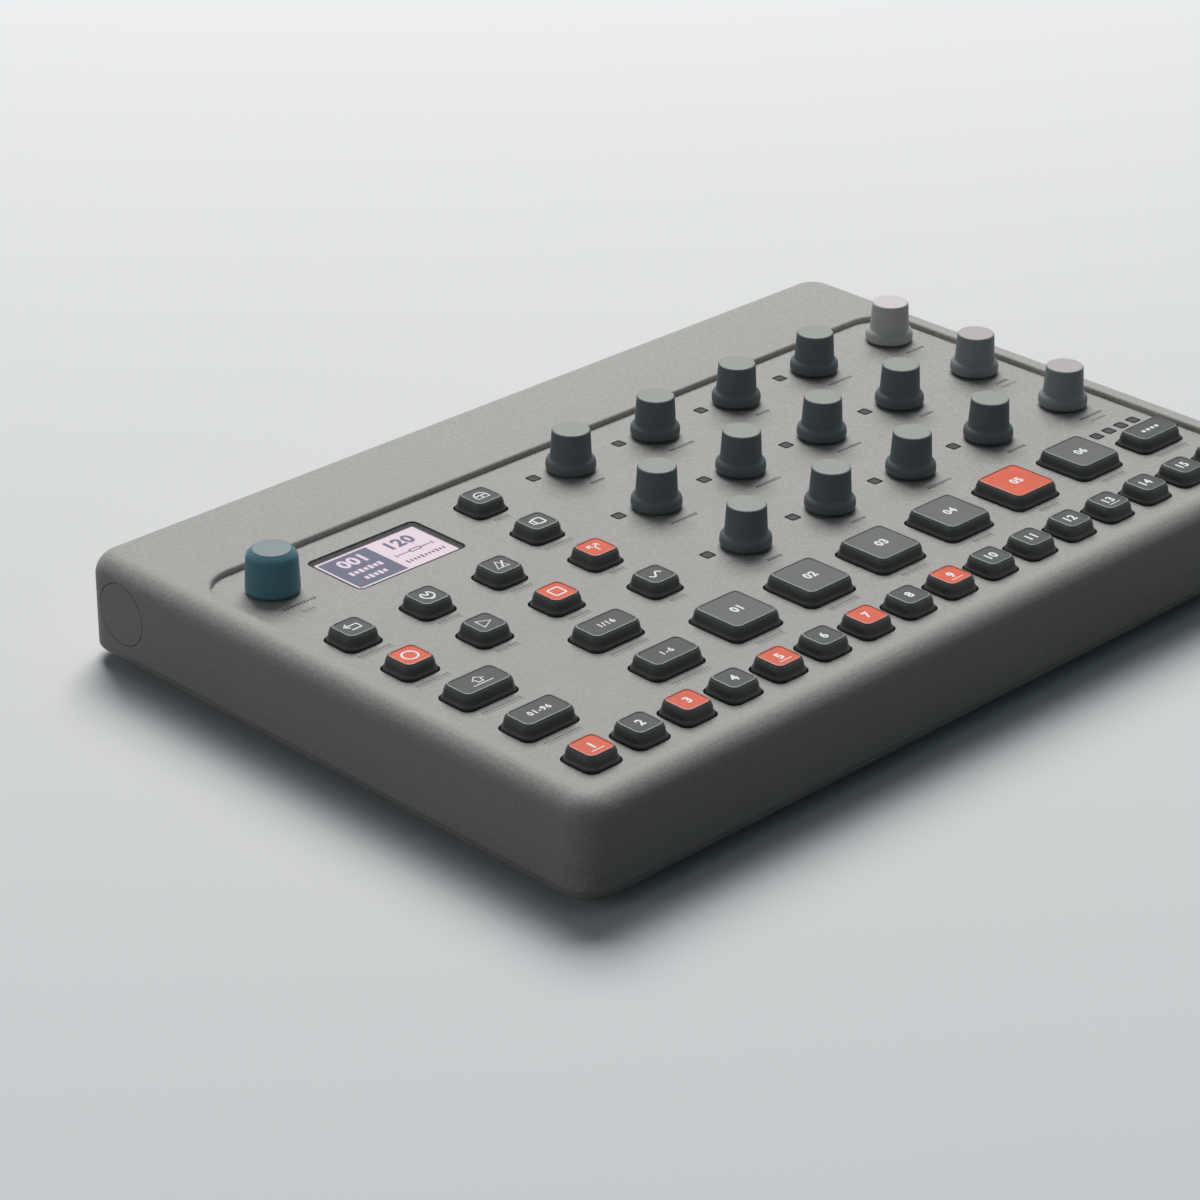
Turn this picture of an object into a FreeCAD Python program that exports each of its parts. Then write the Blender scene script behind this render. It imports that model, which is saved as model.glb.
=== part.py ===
import FreeCAD, Part
import math
import os

from FreeCAD import Vector

# Desktop drum machine: a flat case with a recessed control panel, sixteen knobs,
# thirty-seven keys, a small display and a row of sockets along the rear wall.
# Lengths are in millimetres. +Z is up, +Y runs to the rear and +X to the right.
# The origin is on the table, under the middle of the case.

# Case: its width and depth follow from the rows of controls that it holds
CONTROLS_FROM_SIDE = 18.75
FOOT_HEIGHT = 4.0
PLATE_THICKNESS = 2.1
SHELL_HEIGHT = 23.0
WALL = 2.4
CORNER_RADIUS = 8.5
RIM_ROUNDING = 3.0
PLATE_EDGE_ROUNDING = 0.6

# Recessed control panel
RECESS_DEPTH = 1.6
PANEL_THICKNESS = 2.2
SIDE_RIM = 8.3
FRONT_RIM = 8.0
REAR_BAND = 33.8
RECESS_REAR_RADIUS = 11.0
RECESS_FRONT_RADIUS = 6.5
RECESS_LIP_ROUNDING = 0.5

# Round caps in the side walls
SIDE_CAP_RADIUS = 8.2
SIDE_CAP_GROOVE = 0.2
SIDE_CAP_FROM_REAR = 15.3
SIDE_CAP_BELOW_PANEL = 10.8
SIDE_CAP_FLANGE = 1.4
SIDE_CAP_FLANGE_THICKNESS = 1.0

# Keys
KEY_CAP_SIZE = 7.65
WIDE_CAP_WIDTH = 13.9
PAD_CAP_SIZE = 13.85
KEY_CAP_RADIUS = 0.9
KEY_CAP_EDGE = 0.2
KEY_CAP_THICKNESS = 1.2
KEY_CAP_PROUD = 0.05
KEY_FLARE = 1.7
KEY_BASE_RADIUS = 2.3
KEY_TOP_HEIGHT = 3.75
KEY_FOOT_HEIGHT = 0.6
KEY_NOTCH_HEIGHT = 1.2
KEY_NOTCH_INSET = 0.5
KEY_SHOULDER_HEIGHT = 2.8
KEY_SHOULDER_INSET = 0.85
KEY_CLEARANCE = 0.25
KEY_LIP_WIDTH = 1.1
KEY_LIP_THICKNESS = 1.0
KEY_LIP_GAP = 0.1
KEY_TRAVEL = 1.0
KEY_STEM_RADIUS = 1.6
DOME_RADIUS = 3.4
DOME_HEIGHT = 3.6
DOME_GAP = 0.2

# Key positions
TRIG_COUNT = 16
TRIG_PITCH = 15.5
TRIG_ROW_FROM_FRONT = 18.0
KEY_ROW_PITCH = 20.2
KEY_COLUMN_PITCH = 24.05
PAD_COUNT = 6
PAD_PITCH = 26.35
PAD_1_FROM_TRIG_1 = 72.65
PAD_ROW_FROM_TRIG_ROW = 23.9
PAGE_KEY_FROM_LAST_PAD = 24.975
SOUND_COLUMN_KEYS = ("wave_key", "chance_key", "song_key", "sound_key")
SOUND_COLUMN_FROM_TRIG_1 = 72.0
SOUND_COLUMN_FROM_TRIG_ROW = 50.55
SOUND_COLUMN_PITCH = 20.85
SOUND_KEY_FROM_RECESS_REAR = 15.1

# Knobs
KNOB_COLUMNS = 5
KNOB_ROWS = 3
KNOB_PITCH_X = 31.5
KNOB_PITCH_Y = 31.4
KNOB_1_FROM_TRIG_1 = 105.35
LAST_KNOB_FROM_LAST_TRIG = 1.15
KNOBS_BEHIND_PADS = 27.5
KNOB_ROW_FROM_RECESS_REAR = 14.0
LEVEL_KNOB_FROM_TRIG_1 = 3.35
KNOB_TOP_HEIGHT = 11.7
KNOB_LIFT = 0.9
KNOB_SKIRT_RADIUS = 6.72
KNOB_SKIRT_TOP = 2.0
KNOB_WAIST_RADIUS = 5.38
KNOB_WAIST_HEIGHT = 3.9
KNOB_CROWN_RADIUS = 4.95
KNOB_EDGE = 0.3
KNOB_BELL_OUT = 0.78
KNOB_BELL_RISE = 0.68
LEVEL_KNOB_FOOT_RADIUS = 6.9
LEVEL_KNOB_SHOULDER_RADIUS = 6.45
LEVEL_KNOB_SHOULDER_DROP = 1.8
LEVEL_KNOB_CROWN_RADIUS = 4.8
LEVEL_KNOB_BEVEL_OUT = 0.76
LEVEL_KNOB_BEVEL_RISE = 0.5

# Encoders and the potentiometer under the knobs
ENCODER_SIZE = 12.0
ENCODER_HEIGHT = 6.4
BUSHING_RADIUS = 3.5
BUSHING_ABOVE_PANEL = 1.9
BUSHING_CLEARANCE = 0.3
SHAFT_RADIUS = 3.0
SHAFT_CLEARANCE = 0.05
SHAFT_SEAT = 1.5
SHAFT_FLAT = 1.2
SHAFT_BELOW_KNOB_TOP = 1.6
KNOB_POCKET_CLEARANCE = 1.1

# Indicator windows beside the knobs and above the page key
WINDOW_SIZE = 3.2
WINDOW_RADIUS = 0.7
WINDOW_CLEARANCE = 0.12
WINDOW_FLANGE = 0.6
WINDOW_FLANGE_THICKNESS = 1.0
WINDOW_FROM_KNOB_X = 10.95
WINDOW_FROM_KNOB_Y = 2.75
PAGE_WINDOW_COUNT = 4
PAGE_WINDOW_PITCH = 5.2
PAGE_WINDOW_FROM_KEY = 11.5
LAMP_SIZE = 1.6
LAMP_HEIGHT = 0.8
LAMP_GAP = 0.3

# Display
SCREEN_WIDTH = 36.2
SCREEN_DEPTH = 21.0
SCREEN_RADIUS = 2.0
SCREEN_FROM_TRIG_1 = 36.75
SCREEN_FROM_RECESS_REAR = 18.45
LENS_THICKNESS = 0.5
LENS_DROP = 0.1
LENS_CLEARANCE = 0.2
GLASS_DROP = 0.85
GLASS_CLEARANCE = 0.5
DISPLAY_FLANGE = 2.0
DISPLAY_GAP = 0.1

# Circuit boards
BOARD_THICKNESS = 1.6
BOARD_TO_PANEL = 7.0
BOARD_MARGIN = 6.5
BOARD_REAR_MARGIN = 3.2
JACK_BOARD_LIFT = 1.4
JACK_BOARD_DEPTH = 24.0
JACK_BOARD_FROM_WALL = 1.5
JACK_BOARD_SIDE_MARGIN = 14.0
CONNECTOR_WIDTH = 22.0
CONNECTOR_DEPTH = 4.0
CONNECTOR_HEIGHT = 2.2
RIBBON_WIDTH = 18.0
RIBBON_THICKNESS = 0.4

# Screws and posts
SCREW_RADIUS = 1.5
SCREW_LENGTH = 8.0
SCREW_HEAD_RADIUS = 2.7
SCREW_HEAD_HEIGHT = 1.6
SCREW_RECESS_RADIUS = 0.9
SCREW_RECESS_DEPTH = 0.8
PILOT_SPARE = 0.4
SCREW_HOLE_CLEARANCE = 0.2
HEAD_CLEARANCE = 0.35
BOSS_RADIUS = 3.6
CUP_HEIGHT = 2.6
CUP_FLOOR = 2.2
CORNER_BOSS_INSET = 7.5
SIDE_BOSS_INSET = 6.4
SIDE_BOSS_FROM_FRONT = 78.0
FRONT_BOSS_INSET = 6.6
REAR_BOSS_X = 60.0
REAR_BOSS_FROM_RECESS_REAR = 1.8
POST_RADIUS = 2.7
BOARD_SCREW_KNOB_GAPS = (0, 2)
BOARD_SCREW_TRIG_GAPS = (1, 7, 13)

# Feet
FOOT_RADIUS = 7.0
FOOT_SINK = 0.6
FOOT_CLEARANCE = 0.15
FOOT_INSET_X = 19.0
FOOT_INSET_Y = 18.0
FOOT_ROUNDING = 0.8

# Rear sockets
SOCKET_AXIS_ABOVE_BOARD = 6.6
SOCKET_CLEARANCE = 0.2
LARGE_BORE_RADIUS = 3.25
LARGE_BORE_DEPTH = 24.0
LARGE_NOSE_RADIUS = 5.4
LARGE_BODY = (14.0, 23.0, 13.2)
SMALL_BORE_RADIUS = 1.8
SMALL_BORE_DEPTH = 13.0
SMALL_NOSE_RADIUS = 3.4
SMALL_BODY = (8.4, 12.4, 10.2)
INLET_BORE_RADIUS = 2.85
INLET_BORE_DEPTH = 9.5
INLET_PIN_RADIUS = 1.0
INLET_PIN_DROP = 2.0
INLET_MOUTH_RADIUS = 5.0
INLET_BODY = (9.4, 13.0, 11.2)
DATA_BODY = (8.0, 6.0, 3.2)
DATA_CAVITY = (7.2, 4.6, 2.2)
DATA_TONGUE = (4.6, 3.8, 0.7)
DATA_HOLE_CLEARANCE = 0.3
NOSE_SETBACK = 0.2
HEADPHONE_FROM_SIDE = 23.0
OUTPUT_RIGHT_FROM_SIDE = 45.0
OUTPUT_LEFT_FROM_SIDE = 67.0
SIGNAL_IN_X = 6.0
SIGNAL_OUT_X = -10.0
DATA_FROM_SIDE = 89.0
INLET_FROM_SIDE = 63.0
SWITCH_FROM_SIDE = 35.0
SWITCH_BODY = (14.0, 6.0, 9.0)
SWITCH_TRAVEL = 3.5
SWITCH_LEVER = (3.0, 6.4, 3.0)
SWITCH_LEVER_SETBACK = 0.4
SWITCH_CLEARANCE = 0.3

# Width and depth of the case, as its longest rows of controls need
TRIG_ROW_LENGTH = (TRIG_COUNT - 1) * TRIG_PITCH
PAD_ROW_LENGTH = (PAD_1_FROM_TRIG_1 + (PAD_COUNT - 1) * PAD_PITCH + PAGE_KEY_FROM_LAST_PAD
                  + (WIDE_CAP_WIDTH - KEY_CAP_SIZE) / 2)
KNOB_ROW_LENGTH = (KNOB_1_FROM_TRIG_1 + (KNOB_COLUMNS - 1) * KNOB_PITCH_X
                   + LAST_KNOB_FROM_LAST_TRIG)
CONTROLS_WIDTH = max(TRIG_ROW_LENGTH, PAD_ROW_LENGTH, KNOB_ROW_LENGTH)
SOUND_COLUMN_LENGTH = (SOUND_COLUMN_FROM_TRIG_ROW
                       + (len(SOUND_COLUMN_KEYS) - 1) * SOUND_COLUMN_PITCH
                       + SOUND_KEY_FROM_RECESS_REAR)
KNOB_COLUMN_LENGTH = (PAD_ROW_FROM_TRIG_ROW + KNOBS_BEHIND_PADS
                      + (KNOB_ROWS - 1) * KNOB_PITCH_Y + KNOB_ROW_FROM_RECESS_REAR)
CONTROLS_DEPTH = max(SOUND_COLUMN_LENGTH, KNOB_COLUMN_LENGTH)
CASE_WIDTH = CONTROLS_WIDTH + 2 * CONTROLS_FROM_SIDE
CASE_DEPTH = TRIG_ROW_FROM_FRONT + CONTROLS_DEPTH + REAR_BAND

# Levels and lines worked out from the sizes above
PARTING_Z = FOOT_HEIGHT + PLATE_THICKNESS
RIM_Z = PARTING_Z + SHELL_HEIGHT
PANEL_Z = RIM_Z - RECESS_DEPTH
PANEL_UNDER_Z = PANEL_Z - PANEL_THICKNESS
BOARD_TOP_Z = PANEL_UNDER_Z - BOARD_TO_PANEL
BOARD_Z = BOARD_TOP_Z - BOARD_THICKNESS
JACK_BOARD_Z = PARTING_Z + JACK_BOARD_LIFT
JACK_BOARD_TOP_Z = JACK_BOARD_Z + BOARD_THICKNESS
SOCKET_Z = JACK_BOARD_TOP_Z + SOCKET_AXIS_ABOVE_BOARD
FRONT_Y = -CASE_DEPTH / 2
REAR_Y = CASE_DEPTH / 2
REAR_INNER_Y = REAR_Y - WALL
RECESS_WIDTH = CASE_WIDTH - 2 * SIDE_RIM
RECESS_FRONT_Y = FRONT_Y + FRONT_RIM
RECESS_REAR_Y = REAR_Y - REAR_BAND
TRIG_1_X = CONTROLS_FROM_SIDE - CASE_WIDTH / 2
TRIG_ROW_Y = FRONT_Y + TRIG_ROW_FROM_FRONT
KNOB_1_X = TRIG_1_X + KNOB_1_FROM_TRIG_1
KNOB_ROW_Y = RECESS_REAR_Y - KNOB_ROW_FROM_RECESS_REAR
SCREEN_X = TRIG_1_X + SCREEN_FROM_TRIG_1
SCREEN_Y = RECESS_REAR_Y - SCREEN_FROM_RECESS_REAR
HEADPHONE_X = CASE_WIDTH / 2 - HEADPHONE_FROM_SIDE
OUTPUT_RIGHT_X = CASE_WIDTH / 2 - OUTPUT_RIGHT_FROM_SIDE
OUTPUT_LEFT_X = CASE_WIDTH / 2 - OUTPUT_LEFT_FROM_SIDE
DATA_X = DATA_FROM_SIDE - CASE_WIDTH / 2
INLET_X = INLET_FROM_SIDE - CASE_WIDTH / 2
SWITCH_X = SWITCH_FROM_SIDE - CASE_WIDTH / 2
SCREW_SEAT_Z = FOOT_HEIGHT + CUP_FLOOR
CUP_TOP_Z = PARTING_Z + CUP_HEIGHT
UP = Vector(0, 0, 1)
BACK = Vector(0, 1, 0)
RIGHT = Vector(1, 0, 0)


# Basic shapes

def rounded_wire(width, depth, radii, x, y, z):
    """Closed outline of a rectangle with round corners.

    radii gives the front and the rear corner radius."""
    front, rear = radii
    half_w = width / 2
    half_d = depth / 2
    corners = [
        (x - half_w, y - half_d, front, 180),
        (x + half_w, y - half_d, front, 270),
        (x + half_w, y + half_d, rear, 0),
        (x - half_w, y + half_d, rear, 90),
    ]
    arcs = []
    for corner_x, corner_y, radius, start in corners:
        centre_x = corner_x + radius * (1 if corner_x < x else -1)
        centre_y = corner_y + radius * (1 if corner_y < y else -1)
        circle = Part.Circle(Vector(centre_x, centre_y, z), UP, radius)
        arcs.append(Part.Arc(circle, math.radians(start), math.radians(start + 90)).toShape())
    edges = []
    for index, arc in enumerate(arcs):
        following = arcs[(index + 1) % len(arcs)]
        edges.append(arc)
        edges.append(Part.makeLine(arc.Vertexes[-1].Point, following.Vertexes[0].Point))
    return Part.Wire(edges)


def rounded_block(width, depth, radii, x, y, low, high):
    """Upright block with round vertical edges."""
    outline = rounded_wire(width, depth, radii, x, y, low)
    return Part.Face(outline).extrude(UP * (high - low))


def block(width, depth, height, x, y, low):
    """Upright block with sharp edges, centred on x and y."""
    return Part.makeBox(width, depth, height, Vector(x - width / 2, y - depth / 2, low))


def post(radius, x, y, low, high):
    """Upright cylinder."""
    return Part.makeCylinder(radius, high - low, Vector(x, y, low), UP)


def rod(radius, x, z, front, rear):
    """Cylinder along Y."""
    return Part.makeCylinder(radius, rear - front, Vector(x, front, z), BACK)


def edges_at_height(shape, z):
    """Edges of a shape that lie wholly at one height."""
    found = []
    for edge in shape.Edges:
        box = edge.BoundBox
        if abs(box.ZMin - z) < 1e-6 and abs(box.ZMax - z) < 1e-6:
            found.append(edge)
    return found


def save(name, solids):
    """Write one node: a single solid, or a group of separate solids."""
    shape = solids[0] if len(solids) == 1 else Part.makeCompound(solids)
    shape.exportStep("parts/" + name + ".step")


# Where the controls are

def key_layout():
    """Every key as name, x, y, cap width and cap depth."""
    keys = []
    for index in range(TRIG_COUNT):
        name = "trig_key_%02d" % (index + 1)
        keys.append((name, TRIG_1_X + index * TRIG_PITCH, TRIG_ROW_Y, KEY_CAP_SIZE, KEY_CAP_SIZE))
    for index in range(PAD_COUNT):
        x = TRIG_1_X + PAD_1_FROM_TRIG_1 + index * PAD_PITCH
        y = TRIG_ROW_Y + PAD_ROW_FROM_TRIG_ROW
        keys.append(("pad_key_%d" % (index + 1), x, y, PAD_CAP_SIZE, PAD_CAP_SIZE))
    small_rows = [
        (3, ["record_key", "play_key", "stop_key"]),
        (4, ["back_key", "settings_key", "tempo_key"]),
    ]
    for row, names in small_rows:
        for column, name in enumerate(names):
            x = TRIG_1_X + column * KEY_COLUMN_PITCH
            y = TRIG_ROW_Y + row * KEY_ROW_PITCH
            keys.append((name, x, y, KEY_CAP_SIZE, KEY_CAP_SIZE))
    for index, name in enumerate(SOUND_COLUMN_KEYS):
        x = TRIG_1_X + SOUND_COLUMN_FROM_TRIG_1
        y = TRIG_ROW_Y + SOUND_COLUMN_FROM_TRIG_ROW + index * SOUND_COLUMN_PITCH
        keys.append((name, x, y, KEY_CAP_SIZE, KEY_CAP_SIZE))
    overhang = (WIDE_CAP_WIDTH - KEY_CAP_SIZE) / 2
    left_x = TRIG_1_X + overhang
    right_x = TRIG_1_X + 2 * KEY_COLUMN_PITCH - overhang
    page_x = CASE_WIDTH / 2 - CONTROLS_FROM_SIDE - overhang
    wide = [
        ("pattern_key", left_x, 1),
        ("function_key", left_x, 2),
        ("track_key", right_x, 1),
        ("retrigger_key", right_x, 2),
        ("page_key", page_x, 1),
    ]
    for name, x, row in wide:
        keys.append((name, x, TRIG_ROW_Y + row * KEY_ROW_PITCH, WIDE_CAP_WIDTH, KEY_CAP_SIZE))
    return keys


def knob_layout():
    """Every knob as name, x and y."""
    knobs = [("level_data_knob", TRIG_1_X + LEVEL_KNOB_FROM_TRIG_1, KNOB_ROW_Y)]
    number = 0
    right_names = ["main_volume_knob", "effect_knob_1", "effect_knob_2"]
    for row in range(KNOB_ROWS):
        for column in range(KNOB_COLUMNS):
            x = KNOB_1_X + column * KNOB_PITCH_X
            y = KNOB_ROW_Y - row * KNOB_PITCH_Y
            if column == KNOB_COLUMNS - 1:
                knobs.append((right_names[row], x, y))
            else:
                number += 1
                knobs.append(("parameter_knob_%02d" % number, x, y))
    return knobs


def window_layout():
    """Centres of the indicator windows."""
    windows = []
    for name, x, y in knob_layout():
        if name.startswith("parameter"):
            windows.append((x - WINDOW_FROM_KNOB_X, y + WINDOW_FROM_KNOB_Y))
    page = [key for key in key_layout() if key[0] == "page_key"][0]
    start = page[1] - (PAGE_WINDOW_COUNT - 1) * PAGE_WINDOW_PITCH / 2
    for index in range(PAGE_WINDOW_COUNT):
        windows.append((start + index * PAGE_WINDOW_PITCH, page[2] + PAGE_WINDOW_FROM_KEY))
    return windows


def case_screw_layout():
    """Screws that hold the bottom plate to the case."""
    corner_x = CASE_WIDTH / 2 - CORNER_BOSS_INSET
    corner_y = CASE_DEPTH / 2 - CORNER_BOSS_INSET
    side_x = CASE_WIDTH / 2 - SIDE_BOSS_INSET
    side_y = FRONT_Y + SIDE_BOSS_FROM_FRONT
    rear_y = RECESS_REAR_Y + REAR_BOSS_FROM_RECESS_REAR
    places = [(0, FRONT_Y + FRONT_BOSS_INSET)]
    for side in (-1, 1):
        places.append((side * corner_x, -corner_y))
        places.append((side * corner_x, corner_y))
        places.append((side * side_x, side_y))
        places.append((side * REAR_BOSS_X, rear_y))
    return places


def board_screw_layout():
    """Screws that hold the main board up against the posts under the panel."""
    between_rows = KNOB_ROW_Y - KNOB_PITCH_Y / 2
    below_knobs = KNOB_ROW_Y - (KNOB_ROWS - 1) * KNOB_PITCH_Y - ENCODER_SIZE
    pad_bottom = PAD_ROW_FROM_TRIG_ROW - PAD_CAP_SIZE / 2
    between_pads_and_trigs = TRIG_ROW_Y + (pad_bottom + KEY_CAP_SIZE / 2) / 2
    between_keys = TRIG_1_X + (2 * KEY_COLUMN_PITCH + SOUND_COLUMN_FROM_TRIG_1) / 2
    places = [(between_keys, TRIG_ROW_Y + 3 * KEY_ROW_PITCH)]
    places.append((TRIG_1_X + KEY_COLUMN_PITCH / 2, between_rows))
    for gap in BOARD_SCREW_KNOB_GAPS:
        x = KNOB_1_X + (gap + 0.5) * KNOB_PITCH_X
        places.append((x, between_rows))
        places.append((x, below_knobs))
    for gap in BOARD_SCREW_TRIG_GAPS:
        places.append((TRIG_1_X + (gap + 0.5) * TRIG_PITCH, between_pads_and_trigs))
    return places


def foot_layout():
    """Centres of the four feet."""
    x = CASE_WIDTH / 2 - FOOT_INSET_X
    y = CASE_DEPTH / 2 - FOOT_INSET_Y
    return [(sx * x, sy * y) for sx in (-1, 1) for sy in (-1, 1)]


def socket_layout():
    """Round sockets as x, nose radius, bore radius, bore depth and body size."""
    large = (LARGE_NOSE_RADIUS, LARGE_BORE_RADIUS, LARGE_BORE_DEPTH, LARGE_BODY)
    small = (SMALL_NOSE_RADIUS, SMALL_BORE_RADIUS, SMALL_BORE_DEPTH, SMALL_BODY)
    sockets = [(x,) + large for x in (OUTPUT_LEFT_X, OUTPUT_RIGHT_X)]
    sockets += [(x,) + small for x in (HEADPHONE_X, SIGNAL_IN_X, SIGNAL_OUT_X)]
    return sockets


# Keys

def key_base(cap_width, cap_depth):
    """Width and depth of a key where it comes out of the panel."""
    return cap_width + 2 * KEY_FLARE, cap_depth + 2 * KEY_FLARE


def key_section(cap_width, cap_depth, x, y, height, inset):
    """Outline of a key at a height above the panel, drawn in from its base."""
    width, depth = key_base(cap_width, cap_depth)
    top_radius = KEY_CAP_RADIUS + KEY_CAP_EDGE
    share = inset / (KEY_FLARE - KEY_CAP_EDGE)
    radius = KEY_BASE_RADIUS + (top_radius - KEY_BASE_RADIUS) * share
    radii = (radius, radius)
    return rounded_wire(width - 2 * inset, depth - 2 * inset, radii, x, y, PANEL_Z + height)


def key_solids(x, y, cap_width, cap_depth):
    """Key body and the cap set into its top."""
    width, depth = key_base(cap_width, cap_depth)
    base_radii = (KEY_BASE_RADIUS, KEY_BASE_RADIUS)
    lip_radius = KEY_BASE_RADIUS + KEY_LIP_WIDTH
    lip_top = PANEL_UNDER_Z - KEY_LIP_GAP
    lip_bottom = lip_top - KEY_LIP_THICKNESS
    stem_bottom = BOARD_TOP_Z + DOME_HEIGHT + DOME_GAP + KEY_TRAVEL
    lip = rounded_block(width + 2 * KEY_LIP_WIDTH, depth + 2 * KEY_LIP_WIDTH,
                        (lip_radius, lip_radius), x, y, lip_bottom, lip_top)
    neck = rounded_block(width, depth, base_radii, x, y, lip_top, PANEL_Z + KEY_FOOT_HEIGHT)
    profile = [
        (KEY_FOOT_HEIGHT, 0.0),
        (KEY_NOTCH_HEIGHT, KEY_NOTCH_INSET),
        (KEY_SHOULDER_HEIGHT, KEY_SHOULDER_INSET),
        (KEY_TOP_HEIGHT, KEY_FLARE - KEY_CAP_EDGE),
    ]
    sections = [key_section(cap_width, cap_depth, x, y, h, inset) for h, inset in profile]
    flank = Part.makeLoft(sections, True, True)
    body = lip.fuse([neck, flank]).removeSplitter()
    if stem_bottom < lip_bottom:
        body = body.fuse(post(KEY_STEM_RADIUS, x, y, stem_bottom, lip_bottom))
    cap_top = PANEL_Z + KEY_TOP_HEIGHT + KEY_CAP_PROUD
    cap = rounded_block(cap_width, cap_depth, (KEY_CAP_RADIUS, KEY_CAP_RADIUS), x, y,
                        cap_top - KEY_CAP_THICKNESS, cap_top)
    return [body.cut(cap), cap]


def key_opening(x, y, cap_width, cap_depth):
    """Cutter for the panel opening that a key moves in."""
    width, depth = key_base(cap_width, cap_depth)
    radius = KEY_BASE_RADIUS + KEY_CLEARANCE
    return rounded_block(width + 2 * KEY_CLEARANCE, depth + 2 * KEY_CLEARANCE,
                         (radius, radius), x, y, PANEL_UNDER_Z - WALL, RIM_Z)


# Knobs

def knob_profile(x, y, steps):
    """Closed half section of a knob in the XZ plane, from its outline above the panel.

    steps holds (radius, height) points; a third entry marks the middle of an arc."""
    def place(radius, height):
        return Vector(x + radius, y, PANEL_Z + height)

    edges = []
    current = place(0.0, KNOB_LIFT)
    for radius, height, middle in steps:
        target = place(radius, height)
        if middle:
            edges.append(Part.Arc(current, place(*middle), target).toShape())
        else:
            edges.append(Part.makeLine(current, target))
        current = target
    edges.append(Part.makeLine(current, place(0.0, KNOB_LIFT)))
    return Part.Face(Part.Wire(edges))


def control_knob_outline():
    """Outline of the tapered knob with its bell-shaped skirt."""
    bell_mid = (KNOB_WAIST_RADIUS + KNOB_BELL_OUT * (KNOB_SKIRT_RADIUS - KNOB_WAIST_RADIUS),
                KNOB_SKIRT_TOP + KNOB_BELL_RISE * (KNOB_WAIST_HEIGHT - KNOB_SKIRT_TOP))
    return [
        (KNOB_SKIRT_RADIUS - KNOB_EDGE, KNOB_LIFT, None),
        (KNOB_SKIRT_RADIUS, KNOB_LIFT + KNOB_EDGE, None),
        (KNOB_SKIRT_RADIUS, KNOB_SKIRT_TOP, None),
        (KNOB_WAIST_RADIUS, KNOB_WAIST_HEIGHT, bell_mid),
        (KNOB_CROWN_RADIUS, KNOB_TOP_HEIGHT - KNOB_EDGE, None),
        (KNOB_CROWN_RADIUS - KNOB_EDGE, KNOB_TOP_HEIGHT, None),
        (0.0, KNOB_TOP_HEIGHT, None),
    ]


def level_knob_outline():
    """Outline of the larger level and data knob, with a broad bevel and no skirt."""
    shoulder = KNOB_TOP_HEIGHT - LEVEL_KNOB_SHOULDER_DROP
    overhang = LEVEL_KNOB_SHOULDER_RADIUS - LEVEL_KNOB_CROWN_RADIUS
    bevel_mid = (LEVEL_KNOB_CROWN_RADIUS + LEVEL_KNOB_BEVEL_OUT * overhang,
                 shoulder + LEVEL_KNOB_BEVEL_RISE * LEVEL_KNOB_SHOULDER_DROP)
    return [
        (LEVEL_KNOB_FOOT_RADIUS - KNOB_EDGE, KNOB_LIFT, None),
        (LEVEL_KNOB_FOOT_RADIUS, KNOB_LIFT + KNOB_EDGE, None),
        (LEVEL_KNOB_SHOULDER_RADIUS, shoulder, None),
        (LEVEL_KNOB_CROWN_RADIUS, KNOB_TOP_HEIGHT, bevel_mid),
        (0.0, KNOB_TOP_HEIGHT, None),
    ]


def shaft_solid(x, y):
    """Shaft with a flat, from its seat in the encoder up into the knob."""
    low = BOARD_TOP_Z + SHAFT_SEAT + SHAFT_CLEARANCE
    high = PANEL_Z + KNOB_TOP_HEIGHT - SHAFT_BELOW_KNOB_TOP
    flat_start = PANEL_Z + BUSHING_ABOVE_PANEL + SHAFT_CLEARANCE
    shaft = post(SHAFT_RADIUS, x, y, low, high)
    flat = block(2 * SHAFT_RADIUS, 2 * SHAFT_FLAT, high - flat_start,
                 x, y - SHAFT_RADIUS, flat_start)
    return shaft.cut(flat)


def knob_solids(name, x, y):
    """Knob and the shaft that it is pressed on."""
    outline = level_knob_outline() if name == "level_data_knob" else control_knob_outline()
    turned = knob_profile(x, y, outline).revolve(Vector(x, y, 0), UP, 360)
    shaft = shaft_solid(x, y)
    pocket = post(BUSHING_RADIUS + KNOB_POCKET_CLEARANCE, x, y,
                  PANEL_Z, PANEL_Z + BUSHING_ABOVE_PANEL + KNOB_POCKET_CLEARANCE)
    return [turned.cut(pocket).cut(shaft), shaft]


def encoder_solid(x, y):
    """Encoder: square body on the board and a round bushing up through the panel."""
    body = block(ENCODER_SIZE, ENCODER_SIZE, ENCODER_HEIGHT, x, y, BOARD_TOP_Z)
    bushing = post(BUSHING_RADIUS, x, y, BOARD_TOP_Z, PANEL_Z + BUSHING_ABOVE_PANEL)
    seat = post(SHAFT_RADIUS + SHAFT_CLEARANCE, x, y,
                BOARD_TOP_Z + SHAFT_SEAT, PANEL_Z + BUSHING_ABOVE_PANEL)
    return body.fuse(bushing).cut(seat)


# Case shell

def outer_block(low, high, inset):
    """Block with the outline of the case, drawn in by an inset."""
    radius = CORNER_RADIUS - inset
    return rounded_block(CASE_WIDTH - 2 * inset, CASE_DEPTH - 2 * inset,
                         (radius, radius), 0, 0, low, high)


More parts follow.
